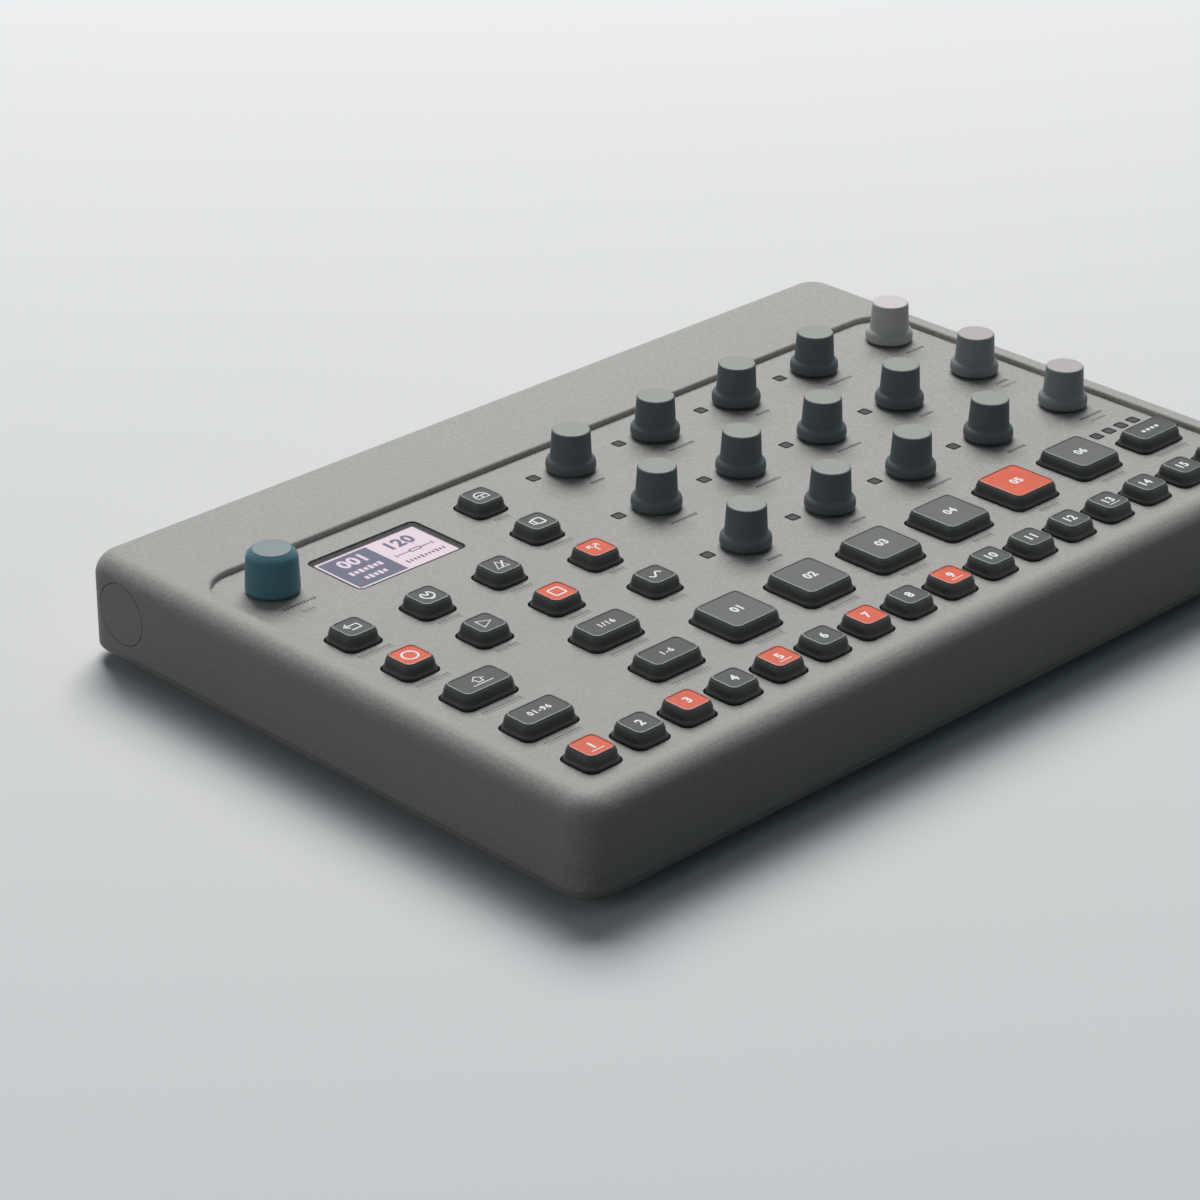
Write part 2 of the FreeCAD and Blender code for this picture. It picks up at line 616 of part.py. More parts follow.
def shell_blank():
    """Outer form of the case with its rounded rim, recess and hollow inside."""
    shell = outer_block(PARTING_Z, RIM_Z, 0)
    shell = shell.makeFillet(RIM_ROUNDING, edges_at_height(shell, RIM_Z))
    recess_depth = RECESS_REAR_Y - RECESS_FRONT_Y
    recess_y = (RECESS_REAR_Y + RECESS_FRONT_Y) / 2
    radii = (RECESS_FRONT_RADIUS, RECESS_REAR_RADIUS)
    recess = rounded_block(RECESS_WIDTH, recess_depth, radii, 0, recess_y, PANEL_Z, RIM_Z + WALL)
    shell = shell.cut(recess)
    lip = [edge for edge in edges_at_height(shell, RIM_Z) if is_recess_edge(edge)]
    shell = shell.makeFillet(RECESS_LIP_ROUNDING, lip)
    hollow = outer_block(PARTING_Z - WALL, PANEL_UNDER_Z, WALL)
    band_front = RECESS_REAR_Y + WALL
    band = rounded_block(CASE_WIDTH - 2 * WALL, REAR_INNER_Y - band_front,
                         (RIM_ROUNDING, CORNER_RADIUS - WALL), 0,
                         (band_front + REAR_INNER_Y) / 2, PARTING_Z, RIM_Z - WALL)
    return shell.cut(hollow).cut(band)


def is_recess_edge(edge):
    """True for an edge on the outline of the recess."""
    box = edge.BoundBox
    inside_x = max(abs(box.XMin), abs(box.XMax)) < RECESS_WIDTH / 2 + RECESS_LIP_ROUNDING
    inside_front = box.YMin > RECESS_FRONT_Y - RECESS_LIP_ROUNDING
    inside_rear = box.YMax < RECESS_REAR_Y + RECESS_LIP_ROUNDING
    return inside_x and inside_front and inside_rear


def bosses_and_posts():
    """Solid bosses and posts that hang under the panel."""
    pieces = []
    for x, y in case_screw_layout():
        pieces.append(post(BOSS_RADIUS, x, y, CUP_TOP_Z, PANEL_UNDER_Z + RECESS_DEPTH))
    for x, y in board_screw_layout():
        pieces.append(post(POST_RADIUS, x, y, BOARD_TOP_Z, PANEL_UNDER_Z + RECESS_DEPTH))
    return pieces


def pilot_holes():
    """Cutters for the holes that the screws cut their thread in."""
    holes = []
    for x, y in case_screw_layout():
        holes.append(post(SCREW_RADIUS, x, y, CUP_TOP_Z, SCREW_SEAT_Z + SCREW_LENGTH + PILOT_SPARE))
    for x, y in board_screw_layout():
        holes.append(post(SCREW_RADIUS, x, y, BOARD_TOP_Z, BOARD_Z + SCREW_LENGTH + PILOT_SPARE))
    return holes


def panel_cutters():
    """Cutters for every opening in the control panel."""
    cutters = [key_opening(x, y, width, depth) for _, x, y, width, depth in key_layout()]
    for _, x, y in knob_layout():
        cutters.append(post(BUSHING_RADIUS + BUSHING_CLEARANCE, x, y, PANEL_UNDER_Z - WALL, RIM_Z))
    size = WINDOW_SIZE + 2 * WINDOW_CLEARANCE
    for x, y in window_layout():
        cutters.append(rounded_block(size, size, (WINDOW_RADIUS, WINDOW_RADIUS), x, y,
                                     PANEL_UNDER_Z - WALL, RIM_Z))
    cutters.append(rounded_block(SCREEN_WIDTH, SCREEN_DEPTH, (SCREEN_RADIUS, SCREEN_RADIUS),
                                 SCREEN_X, SCREEN_Y, PANEL_UNDER_Z - WALL, RIM_Z))
    return cutters


def rear_wall_cutters():
    """Cutters for the socket holes and the switch slot in the rear wall."""
    inside = REAR_INNER_Y - WALL
    outside = REAR_Y + WALL
    cutters = []
    for x, nose, _, _, _ in socket_layout():
        cutters.append(rod(nose + SOCKET_CLEARANCE, x, SOCKET_Z, inside, outside))
    cutters.append(rod(INLET_MOUTH_RADIUS, INLET_X, SOCKET_Z, inside, outside))
    width, _, height = DATA_BODY
    cutters.append(block(width + 2 * DATA_HOLE_CLEARANCE, outside - inside,
                         height + 2 * DATA_HOLE_CLEARANCE, DATA_X, (inside + outside) / 2,
                         JACK_BOARD_TOP_Z - DATA_HOLE_CLEARANCE))
    cutters.append(switch_slot(inside, outside))
    return cutters


def switch_slot(front, rear):
    """Cutter for the slot that the power switch lever slides in."""
    width, _, height = SWITCH_LEVER
    slot_width = width + SWITCH_TRAVEL + 2 * SWITCH_CLEARANCE
    slot_height = height + 2 * SWITCH_CLEARANCE
    return block(slot_width, rear - front, slot_height, SWITCH_X, (front + rear) / 2,
                 SOCKET_Z - slot_height / 2)


def side_cap_axis():
    """Y and Z of the round cap in each side wall."""
    return REAR_Y - SIDE_CAP_FROM_REAR, PANEL_Z - SIDE_CAP_BELOW_PANEL


def side_disc(side, radius, outer_inset, inner_inset):
    """Disc in a side wall, between two distances in from the outer face."""
    y, z = side_cap_axis()
    outer_x = side * (CASE_WIDTH / 2 - outer_inset)
    direction = RIGHT * (-side)
    return Part.makeCylinder(radius, inner_inset - outer_inset, Vector(outer_x, y, z), direction)


def side_cap(side):
    """Cap that snaps into a side wall from inside, flush with the wall outside."""
    depth = WALL + SIDE_CAP_FLANGE_THICKNESS
    disc = side_disc(side, SIDE_CAP_RADIUS, 0, depth)
    flange = side_disc(side, SIDE_CAP_RADIUS + SIDE_CAP_FLANGE, WALL, depth)
    disc = disc.common(outer_block(PARTING_Z, RIM_Z, 0))
    flange = flange.common(outer_block(PARTING_Z, RIM_Z, WALL))
    return disc.fuse(flange)


def top_case():
    """Upper shell with its panel openings, bosses and rear holes, and the two side caps."""
    shell = shell_blank().fuse(bosses_and_posts())
    shell = shell.cut(panel_cutters())
    shell = shell.cut(pilot_holes())
    shell = shell.cut(rear_wall_cutters())
    for side in (-1, 1):
        shell = shell.cut(side_disc(side, SIDE_CAP_RADIUS + SIDE_CAP_GROOVE, -WALL, 2 * WALL))
    return [shell.Solids[0], side_cap(-1), side_cap(1)]


# Bottom plate, screws and feet

def bottom_plate():
    """Flat plate that closes the case, with cups for the screws and seats for the feet."""
    plate = outer_block(FOOT_HEIGHT, PARTING_Z, 0)
    plate = plate.makeFillet(PLATE_EDGE_ROUNDING, edges_at_height(plate, FOOT_HEIGHT))
    pieces = []
    for x, y in case_screw_layout():
        pieces.append(post(BOSS_RADIUS, x, y, PARTING_Z - WALL / 2, CUP_TOP_Z))
    for x in (OUTPUT_LEFT_X + LARGE_BODY[0], SIGNAL_OUT_X - LARGE_BODY[0], SWITCH_X):
        pieces.append(post(POST_RADIUS, x, jack_board_y(), PARTING_Z - WALL / 2, JACK_BOARD_Z))
    plate = plate.fuse(pieces)
    cutters = []
    for x, y in case_screw_layout():
        head = SCREW_HEAD_RADIUS + HEAD_CLEARANCE
        cutters.append(post(head, x, y, 0, SCREW_SEAT_Z))
        cutters.append(post(SCREW_RADIUS + SCREW_HOLE_CLEARANCE, x, y, 0, CUP_TOP_Z))
    for x, y in foot_layout():
        cutters.append(post(FOOT_RADIUS + FOOT_CLEARANCE, x, y, 0, FOOT_HEIGHT + FOOT_SINK))
    return plate.cut(cutters)


def screw(x, y, seat_z):
    """Pan-head screw whose head bears upwards on a seat."""
    head = post(SCREW_HEAD_RADIUS, x, y, seat_z - SCREW_HEAD_HEIGHT, seat_z)
    shank = post(SCREW_RADIUS, x, y, seat_z, seat_z + SCREW_LENGTH)
    recess = post(SCREW_RECESS_RADIUS, x, y, seat_z - SCREW_HEAD_HEIGHT,
                  seat_z - SCREW_HEAD_HEIGHT + SCREW_RECESS_DEPTH)
    return head.fuse(shank).cut(recess)


def case_screws():
    """All the screws: those of the bottom plate and those of the main board."""
    screws = [screw(x, y, SCREW_SEAT_Z) for x, y in case_screw_layout()]
    return screws + [screw(x, y, BOARD_Z) for x, y in board_screw_layout()]


def rubber_feet():
    """Four round feet, let into the bottom plate."""
    feet = []
    for x, y in foot_layout():
        foot = post(FOOT_RADIUS, x, y, 0, FOOT_HEIGHT + FOOT_SINK)
        feet.append(foot.makeFillet(FOOT_ROUNDING, edges_at_height(foot, 0)))
    return feet


# Display and indicator windows

def display_lens():
    """Clear lens just under the surface of the panel."""
    return rounded_block(SCREEN_WIDTH - 2 * LENS_CLEARANCE, SCREEN_DEPTH - 2 * LENS_CLEARANCE,
                         (SCREEN_RADIUS, SCREEN_RADIUS), SCREEN_X, SCREEN_Y,
                         PANEL_Z - LENS_DROP - LENS_THICKNESS, PANEL_Z - LENS_DROP)


def display_module():
    """Display module: its glass reaches up into the panel opening."""
    glass = rounded_block(SCREEN_WIDTH - 2 * GLASS_CLEARANCE, SCREEN_DEPTH - 2 * GLASS_CLEARANCE,
                          (SCREEN_RADIUS, SCREEN_RADIUS), SCREEN_X, SCREEN_Y,
                          BOARD_TOP_Z, PANEL_Z - GLASS_DROP)
    frame = block(SCREEN_WIDTH + 2 * DISPLAY_FLANGE, SCREEN_DEPTH + 2 * DISPLAY_FLANGE,
                  PANEL_UNDER_Z - DISPLAY_GAP - BOARD_TOP_Z, SCREEN_X, SCREEN_Y, BOARD_TOP_Z)
    return glass.fuse(frame)


def indicator_window(x, y):
    """Light guide: a rounded square window in the panel with a flange below it."""
    low = BOARD_TOP_Z + LAMP_HEIGHT + LAMP_GAP
    radii = (WINDOW_RADIUS, WINDOW_RADIUS)
    guide = rounded_block(WINDOW_SIZE, WINDOW_SIZE, radii, x, y, low, PANEL_Z)
    flange_size = WINDOW_SIZE + 2 * WINDOW_FLANGE
    flange = rounded_block(flange_size, flange_size, radii, x, y,
                           PANEL_UNDER_Z - WINDOW_FLANGE_THICKNESS, PANEL_UNDER_Z)
    return guide.fuse(flange)


def clear_windows():
    """The display lens and the indicator windows."""
    return [display_lens()] + [indicator_window(x, y) for x, y in window_layout()]


# Circuit boards with what is soldered on them

def main_board():
    """Board under the control panel, with a hole for each of its screws."""
    front = RECESS_FRONT_Y + BOARD_MARGIN / 2
    rear = RECESS_REAR_Y - BOARD_REAR_MARGIN
    width = CASE_WIDTH - 2 * (WALL + SIDE_BOSS_INSET) - BOARD_MARGIN
    board = block(width, rear - front, BOARD_THICKNESS, 0, (front + rear) / 2, BOARD_Z)
    holes = []
    for x, y in board_screw_layout():
        holes.append(post(SCREW_RADIUS + SCREW_HOLE_CLEARANCE, x, y, BOARD_Z, BOARD_TOP_Z))
    return board.cut(holes)


def contact_dome(x, y):
    """Rubber contact dome under a key, its base on the board."""
    return Part.makeCone(DOME_RADIUS, KEY_STEM_RADIUS, DOME_HEIGHT, Vector(x, y, BOARD_TOP_Z), UP)


def lamp(x, y):
    """Lamp under an indicator window."""
    return block(LAMP_SIZE, LAMP_SIZE, LAMP_HEIGHT, x, y, BOARD_TOP_Z)


def jack_board_y():
    """Middle of the jack board, front to rear."""
    return REAR_INNER_Y - JACK_BOARD_FROM_WALL - JACK_BOARD_DEPTH / 2


def jack_board():
    """Narrow board along the rear wall that carries the sockets."""
    width = CASE_WIDTH - 2 * (WALL + JACK_BOARD_SIDE_MARGIN)
    return block(width, JACK_BOARD_DEPTH, BOARD_THICKNESS, 0, jack_board_y(), JACK_BOARD_Z)


def round_socket(x, nose, bore, bore_depth, body_size):
    """Jack socket: a block on the jack board and a round nose in the rear wall."""
    width, depth, height = body_size
    mouth = REAR_Y - NOSE_SETBACK
    face = REAR_INNER_Y - SOCKET_CLEARANCE
    body = block(width, depth, height, x, face - depth / 2, JACK_BOARD_TOP_Z)
    barrel = rod(nose, x, SOCKET_Z, face, mouth)
    hole = rod(bore, x, SOCKET_Z, mouth - bore_depth, mouth)
    return body.fuse(barrel).cut(hole)


def power_inlet():
    """Power inlet: a round socket with a pin in its middle, set behind the rear wall."""
    width, depth, height = INLET_BODY
    face = REAR_INNER_Y - SOCKET_CLEARANCE
    body = block(width, depth, height, INLET_X, face - depth / 2, JACK_BOARD_TOP_Z)
    bottom = face - INLET_BORE_DEPTH
    body = body.cut(rod(INLET_BORE_RADIUS, INLET_X, SOCKET_Z, bottom, face))
    return body.fuse(rod(INLET_PIN_RADIUS, INLET_X, SOCKET_Z, bottom, face - INLET_PIN_DROP))


def data_socket():
    """Flat data socket with a contact tongue inside its metal shell."""
    width, depth, height = DATA_BODY
    face = REAR_Y - WALL / 2
    middle_z = JACK_BOARD_TOP_Z + height / 2
    shell = block(width, depth, height, DATA_X, face - depth / 2, JACK_BOARD_TOP_Z)
    hollow_w, hollow_d, hollow_h = DATA_CAVITY
    hollow = block(hollow_w, hollow_d, hollow_h, DATA_X, face - hollow_d / 2,
                   middle_z - hollow_h / 2)
    tongue_w, tongue_d, tongue_h = DATA_TONGUE
    tongue = block(tongue_w, tongue_d, tongue_h, DATA_X, face - hollow_d + tongue_d / 2,
                   middle_z - tongue_h / 2)
    return shell.cut(hollow).fuse(tongue)


def switch_body():
    """Slide switch body behind the rear wall, with a channel for the lever."""
    width, depth, height = SWITCH_BODY
    face = REAR_INNER_Y - SOCKET_CLEARANCE
    body = block(width, depth, height, SWITCH_X, face - depth / 2, JACK_BOARD_TOP_Z)
    lever_front = REAR_Y - SWITCH_LEVER_SETBACK - SWITCH_LEVER[1]
    return body.cut(switch_slot(lever_front - SWITCH_CLEARANCE, REAR_Y))


def power_switch():
    """Lever of the power switch, at the off end of its slot."""
    width, length, height = SWITCH_LEVER
    tip = REAR_Y - SWITCH_LEVER_SETBACK
    x = SWITCH_X + SWITCH_TRAVEL / 2
    return block(width, length, height, x, tip - length / 2, SOCKET_Z - height / 2)


def board_ribbon():
    """Flat ribbon that joins the two boards, with a connector on each."""
    main_y = RECESS_REAR_Y - BOARD_REAR_MARGIN - CONNECTOR_DEPTH / 2
    jack_y = jack_board_y() - JACK_BOARD_DEPTH / 2 + CONNECTOR_DEPTH / 2
    upper = block(CONNECTOR_WIDTH, CONNECTOR_DEPTH, CONNECTOR_HEIGHT, 0, main_y,
                  BOARD_Z - CONNECTOR_HEIGHT)
    lower = block(CONNECTOR_WIDTH, CONNECTOR_DEPTH, CONNECTOR_HEIGHT, 0, jack_y,
                  JACK_BOARD_TOP_Z)
    level = BOARD_Z - CONNECTOR_HEIGHT / 2
    start = main_y + CONNECTOR_DEPTH / 2
    end = jack_y + RIBBON_THICKNESS / 2
    run = block(RIBBON_WIDTH, end - start, RIBBON_THICKNESS, 0, (start + end) / 2, level)
    drop_low = JACK_BOARD_TOP_Z + CONNECTOR_HEIGHT
    drop = block(RIBBON_WIDTH, RIBBON_THICKNESS, level + RIBBON_THICKNESS - drop_low, 0, jack_y,
                 drop_low)
    return [upper, lower, run.fuse(drop).removeSplitter()]


def circuit_boards():
    """Both boards and every component that stays with them."""
    pieces = [main_board(), jack_board(), display_module()]
    pieces += board_ribbon()
    pieces += [encoder_solid(x, y) for _, x, y in knob_layout()]
    pieces += [contact_dome(x, y) for _, x, y, _, _ in key_layout()]
    pieces += [lamp(x, y) for x, y in window_layout()]
    pieces += [round_socket(*socket) for socket in socket_layout()]
    pieces += [power_inlet(), data_socket(), switch_body()]
    return pieces


def main():
    """Build every node and write it."""
    os.makedirs("parts", exist_ok=True)
    save("top_case", top_case())
    save("bottom_plate", [bottom_plate()])
    save("case_screws", case_screws())
    save("rubber_feet", rubber_feet())
    save("clear_windows", clear_windows())
    save("circuit_boards", circuit_boards())
    save("power_switch", [power_switch()])
    for name, x, y, width, depth in key_layout():
        save(name, key_solids(x, y, width, depth))
    for name, x, y in knob_layout():
        save(name, knob_solids(name, x, y))


main()
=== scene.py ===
"""Looks of the desktop drum machine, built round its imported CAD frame.

Sizes are in millimetres, x to the right, y to the rear and z up, unless a name says otherwise.
Geometry Nodes trees work in millimetres too, and turn the result into metres at their end.
"""

import logging
import math
import random
from collections.abc import Sequence
from dataclasses import dataclass, field
from enum import Enum
from typing import Any

import bmesh
import bpy
from mathutils import Euler, Matrix, Vector


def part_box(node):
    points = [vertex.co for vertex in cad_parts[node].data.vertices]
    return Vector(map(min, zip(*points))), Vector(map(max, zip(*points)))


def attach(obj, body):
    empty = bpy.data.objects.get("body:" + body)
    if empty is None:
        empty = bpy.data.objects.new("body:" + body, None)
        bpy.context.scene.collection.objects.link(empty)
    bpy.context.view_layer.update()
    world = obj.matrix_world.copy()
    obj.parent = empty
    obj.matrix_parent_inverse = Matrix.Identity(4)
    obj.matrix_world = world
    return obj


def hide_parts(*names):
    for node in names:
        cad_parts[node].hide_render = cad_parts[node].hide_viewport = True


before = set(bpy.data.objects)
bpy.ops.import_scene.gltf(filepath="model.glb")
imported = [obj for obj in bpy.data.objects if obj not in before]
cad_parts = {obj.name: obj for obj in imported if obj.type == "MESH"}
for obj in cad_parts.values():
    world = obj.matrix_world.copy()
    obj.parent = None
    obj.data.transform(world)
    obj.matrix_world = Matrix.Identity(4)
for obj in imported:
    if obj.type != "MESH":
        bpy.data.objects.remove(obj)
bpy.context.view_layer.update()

logging.basicConfig(level=logging.INFO, format="%(message)s")
log = logging.getLogger("drum_machine")

Point = tuple[float, float]
Spot = tuple[float, float, float]
Bar = tuple[float, float, float, float]
Line = Sequence[Point]

METRES_PER_MM = 0.001
# Points closer than this become one.
WELD_MM = 0.004
# Edges that turn by more than this are shaded sharp.
SHARP_ANGLE = math.radians(34)
# Most values of a noise texture lie between these two.
NOISE_LOW, NOISE_HIGH = 0.3, 0.7
# Level of the panel's surface.
PANEL_Z = 27.5
# Knobs without an indicator window.
LONE_KNOBS = ("level_data_knob", "main_volume_knob", "effect_knob_1", "effect_knob_2")


# Helpers

def linear(colour: str) -> tuple[float, float, float, float]:
    """Turn an sRGB hex colour into linear RGBA.

    Args:
        colour: Six hex digits after a hash.

    Returns:
        The colour as four linear numbers, the last one being 1.
    """
    channels = [int(colour[i:i + 2], 16) / 255 for i in (1, 3, 5)]
    red, green, blue = (
        c / 12.92 if c <= 0.04045 else ((c + 0.055) / 1.055) ** 2.4 for c in channels
    )
    return red, green, blue, 1.0


def add_node(tree: bpy.types.NodeTree, kind: str, inputs: dict[str | int, Any] | None = None,
             **settings: Any) -> bpy.types.Node:
    """Add a node with its settings, values and links.

    Args:
        tree: Tree that gets the node.
        kind: Node type.
        inputs: Socket name or number, and a value, a socket, a node whose first output is used,
            or a list of these for a socket that takes several.
        **settings: Properties of the node.

    Returns:
        The new node.
    """
    node = tree.nodes.new(kind)
    for name, value in settings.items():
        setattr(node, name, value)
    for name, given in (inputs or {}).items():
        for value in given if isinstance(given, list) else [given]:
            if isinstance(value, bpy.types.Node):
                value = value.outputs[0]
            if isinstance(value, bpy.types.NodeSocket):
                tree.links.new(value, node.inputs[name])
            else:
                node.inputs[name].default_value = value
    return node


def link(piece: bpy.types.Object) -> bpy.types.Object:
    """Put an object into the scene and return it."""
    bpy.context.scene.collection.objects.link(piece)
    return piece


def discard(*helpers: bpy.types.Object) -> None:
    """Remove helper objects that a tree has read."""
    for helper in helpers:
        bpy.data.objects.remove(helper)


def mesh_object(name: str, work: bmesh.types.BMesh) -> bpy.types.Object:
    """Put a worked mesh into the scene.

    Args:
        name: Name of the object.
        work: The worked mesh, which is freed.

    Returns:
        The object.
    """
    mesh = bpy.data.meshes.new(name)
    work.to_mesh(mesh)
    work.free()
    return link(bpy.data.objects.new(name, mesh))


def evaluated_mesh(piece: bpy.types.Object) -> bpy.types.Mesh:
    """Make a plain mesh of what an object's modifiers or its text give.

    Args:
        piece: Object in the scene.

    Returns:
        The mesh.
    """
    bpy.context.view_layer.update()
    evaluated = piece.evaluated_get(bpy.context.evaluated_depsgraph_get())
    return bpy.data.meshes.new_from_object(evaluated)


def shade(mesh: bpy.types.Mesh) -> None:
    """Shade a mesh smooth up to the sharp angle."""
    mesh.shade_smooth()
    mesh.set_sharp_from_angle(angle=SHARP_ANGLE)


def smooth(mesh: bpy.types.Mesh, weld: float = WELD_MM) -> None:
    """Weld a mesh, point its faces outwards and shade it smooth.

    Args:
        mesh: Mesh in metres.
        weld: Distance under which points become one.
    """
    work = bmesh.new()
    work.from_mesh(mesh)
    bmesh.ops.remove_doubles(work, verts=work.verts, dist=weld * METRES_PER_MM)
    bmesh.ops.recalc_face_normals(work, faces=work.faces)
    work.to_mesh(mesh)
    work.free()
    shade(mesh)


def node_box(node: str) -> tuple[Vector, Vector, Vector]:
    """Measure the box of a CAD node.

    Args:
        node: Name of the node.

    Returns:
        Its low corner, its high corner and its middle, in millimetres.
    """
    low, high = (corner / METRES_PER_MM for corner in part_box(node))
    return low, high, (low + high) / 2


def arc(centre: Point, radius: float, start: float, end: float, steps: int = 12) -> list[Point]:
    """Points along a circular arc.

    Args:
        centre: Middle of the circle.
        radius: Its radius.
        start: First angle in degrees.
        end: Last angle in degrees.
        steps: Number of stretches.

    Returns:
        The points in order.
    """
    angles = [math.radians(start + (end - start) * i / steps) for i in range(steps + 1)]
    return [(centre[0] + radius * math.cos(a), centre[1] + radius * math.sin(a)) for a in angles]


def rounded_box_line(width: float, height: float, radius: float,
                     centre: Point = (0.0, 0.0)) -> list[Point]:
    """Outline of a rectangle with round corners, counter-clockwise.

    Args:
        width: Its width.
        height: Its height.
        radius: Radius of its corners.
        centre: Its middle.

    Returns:
        The points, ending with the first one again.
    """
    x, y = centre
    a, b = width / 2 - radius, height / 2 - radius
    corners = [(x - a, y - b, 180), (x + a, y - b, 270), (x + a, y + b, 0), (x - a, y + b, 90)]
    points: list[Point] = []
    for corner_x, corner_y, start in corners:
        points += arc((corner_x, corner_y), radius, start, start + 90, 4)
    return points + points[:1]


def poly_curve(name: str, lines: Sequence[Line], closes: bool) -> bpy.types.Object:
    """Make a curve object of straight stretches.

    Args:
        name: Name of the helper object.
        lines: Its lines.
        closes: Whether a line that ends where it starts becomes a loop.

    Returns:
        The curve object.
    """
    curve = bpy.data.curves.new(name, "CURVE")
    curve.dimensions = "3D"
    for points in lines:
        loops = closes and math.dist(points[0], points[-1]) < WELD_MM
        kept = points[:-1] if loops else points
        spline = curve.splines.new("POLY")
        spline.points.add(len(kept) - 1)
        spline.use_cyclic_u = loops
        for point, (x, y) in zip(spline.points, kept):
            point.co = (x, y, 0, 1)
    return link(bpy.data.objects.new(name, curve))


def section(name: str, outline: Line) -> bpy.types.Object:
    """Make a section for a sweep from (outward, up) points; its own Y points down."""
    return poly_curve(name, [[(outward, -up) for outward, up in outline]], False)


# Finishes

def new_material(name: str) -> tuple[bpy.types.Material, bpy.types.NodeTree]:
    """Make an empty node material.

    Args:
        name: Name of the material.

    Returns:
        The material and its cleared node tree.
    """
    material = bpy.data.materials.new(name)
    material.use_nodes = True
    material.node_tree.nodes.clear()
    return material, material.node_tree


@dataclass(frozen=True)
class Grained:
    """A matt surface with a fine grain and slow drifts of tone, such as moulded or painted parts.

    Attributes:
        name: Common name of the material and how its surface was made.
        colour: Main colour.
        roughness: Typical roughness of the surface.
        grain: Size of the grain.
        relief: Height of the grain.
        speckle: Share by which the grain lightens and darkens the colour.
        drift: Share by which the tone changes over a few centimetres.
        drift_size: Size of those slow patches.
        sheen: Weight of a dusty sheen.
        metallic: Share of bare metal.
        glow: Strength of light given off in the main colour.
        specular: Specular level; thin matt paint gives less than its plastic.
        wear: How far the grain lowers and raises the roughness.
    """

    name: str
    colour: str
    roughness: float
    grain: float = 0.8
    relief: float = 0.03
    speckle: float = 0.05
    drift: float = 0.04
    drift_size: float = 40.0
    sheen: float = 0.0
    metallic: float = 0.0
    glow: float = 0.0
    specular: float = 0.5
    wear: Point = (0.05, 0.07)

    def material(self) -> bpy.types.Material:
        """Build the material's nodes.

        Returns:
            The material.
        """
        made, tree = new_material(self.name)
        place = add_node(tree, "ShaderNodeTexCoord").outputs["Object"]
        grain = add_node(tree, "ShaderNodeTexNoise", {
            "Vector": place, "Scale": 1 / (self.grain * METRES_PER_MM),
            "Detail": 2.0, "Roughness": 0.6})
        drift = add_node(tree, "ShaderNodeTexNoise", {
            "Vector": place, "Scale": 1 / (self.drift_size * METRES_PER_MM), "Detail": 3.0})
        smoother, rougher = self.wear
        grain_tone, drift_tone, roughness = (
            add_node(tree, "ShaderNodeMapRange", {
                "Value": noise, "From Min": NOISE_LOW, "From Max": NOISE_HIGH,
                "To Min": low, "To Max": high})
            for noise, low, high in (
                (grain, 1 - self.speckle, 1 + self.speckle),
                (drift, 1 - self.drift, 1 + self.drift),
                (grain, max(self.roughness - smoother, 0.0),
                 min(self.roughness + rougher, 1.0))))
        tone = add_node(tree, "ShaderNodeMath", {0: grain_tone, 1: drift_tone},
                        operation="MULTIPLY")
        tinted = add_node(tree, "ShaderNodeVectorMath", {
            0: linear(self.colour)[:3], "Scale": tone}, operation="SCALE")
        bump = add_node(tree, "ShaderNodeBump", {
            "Height": grain, "Strength": 0.6, "Distance": self.relief * METRES_PER_MM})
        values = {
            "Base Color": tinted, "Roughness": roughness, "Normal": bump,
            "Metallic": self.metallic, "Sheen Weight": self.sheen,
            "Specular IOR Level": self.specular}
        if self.glow:
            values |= {"Emission Color": tinted, "Emission Strength": self.glow}
        shader = add_node(tree, "ShaderNodeBsdfPrincipled", values)
        add_node(tree, "ShaderNodeOutputMaterial", {"Surface": shader})
        return made


@dataclass(frozen=True)
class Acrylic:
    """Clear cast acrylic: only its gloss shows, and more of it at low angles.

    The faces seen from inside give none, or they would mirror everything at a low angle.

    Attributes:
        name: Common name of the material and how its surface was made.
        ior: Index of refraction.
        roughness: Roughness of its gloss.
        tint: Colour of what is seen through it.
        smear_size: Size of its duller patches.
        smear: Share by which those change the roughness.
    """

    name: str
    ior: float = 1.49
    roughness: float = 0.03
    tint: str = "#F4F4F2"
    smear_size: float = 9.0
    smear: float = 0.3

    def material(self) -> bpy.types.Material:
        """Build the material's nodes.

        Returns:
            The material.
        """
        made, tree = new_material(self.name)
        place = add_node(tree, "ShaderNodeTexCoord").outputs["Object"]
        patches = add_node(tree, "ShaderNodeTexNoise", {
            "Vector": place, "Scale": 1 / (self.smear_size * METRES_PER_MM), "Detail": 3.0})
        haze = add_node(tree, "ShaderNodeMapRange", {
            "Value": patches, "From Min": NOISE_LOW, "From Max": NOISE_HIGH,
            "To Min": self.roughness * (1 - self.smear),
            "To Max": self.roughness * (1 + self.smear)})
        clear = add_node(tree, "ShaderNodeBsdfTransparent", {"Color": linear(self.tint)})
        gloss = add_node(tree, "ShaderNodeBsdfAnisotropic", {
            "Color": linear("#FFFFFF"), "Roughness": haze})
        mirrored = add_node(tree, "ShaderNodeFresnel", {"IOR": self.ior})
        front = add_node(tree, "ShaderNodeMath", {
            0: 1.0, 1: add_node(tree, "ShaderNodeNewGeometry").outputs["Backfacing"]},
            operation="SUBTRACT")
        share = add_node(tree, "ShaderNodeMath", {0: mirrored, 1: front}, operation="MULTIPLY")
        mixed = add_node(tree, "ShaderNodeMixShader", {0: share, 1: clear, 2: gloss})
        add_node(tree, "ShaderNodeOutputMaterial", {"Surface": mixed})
        return made


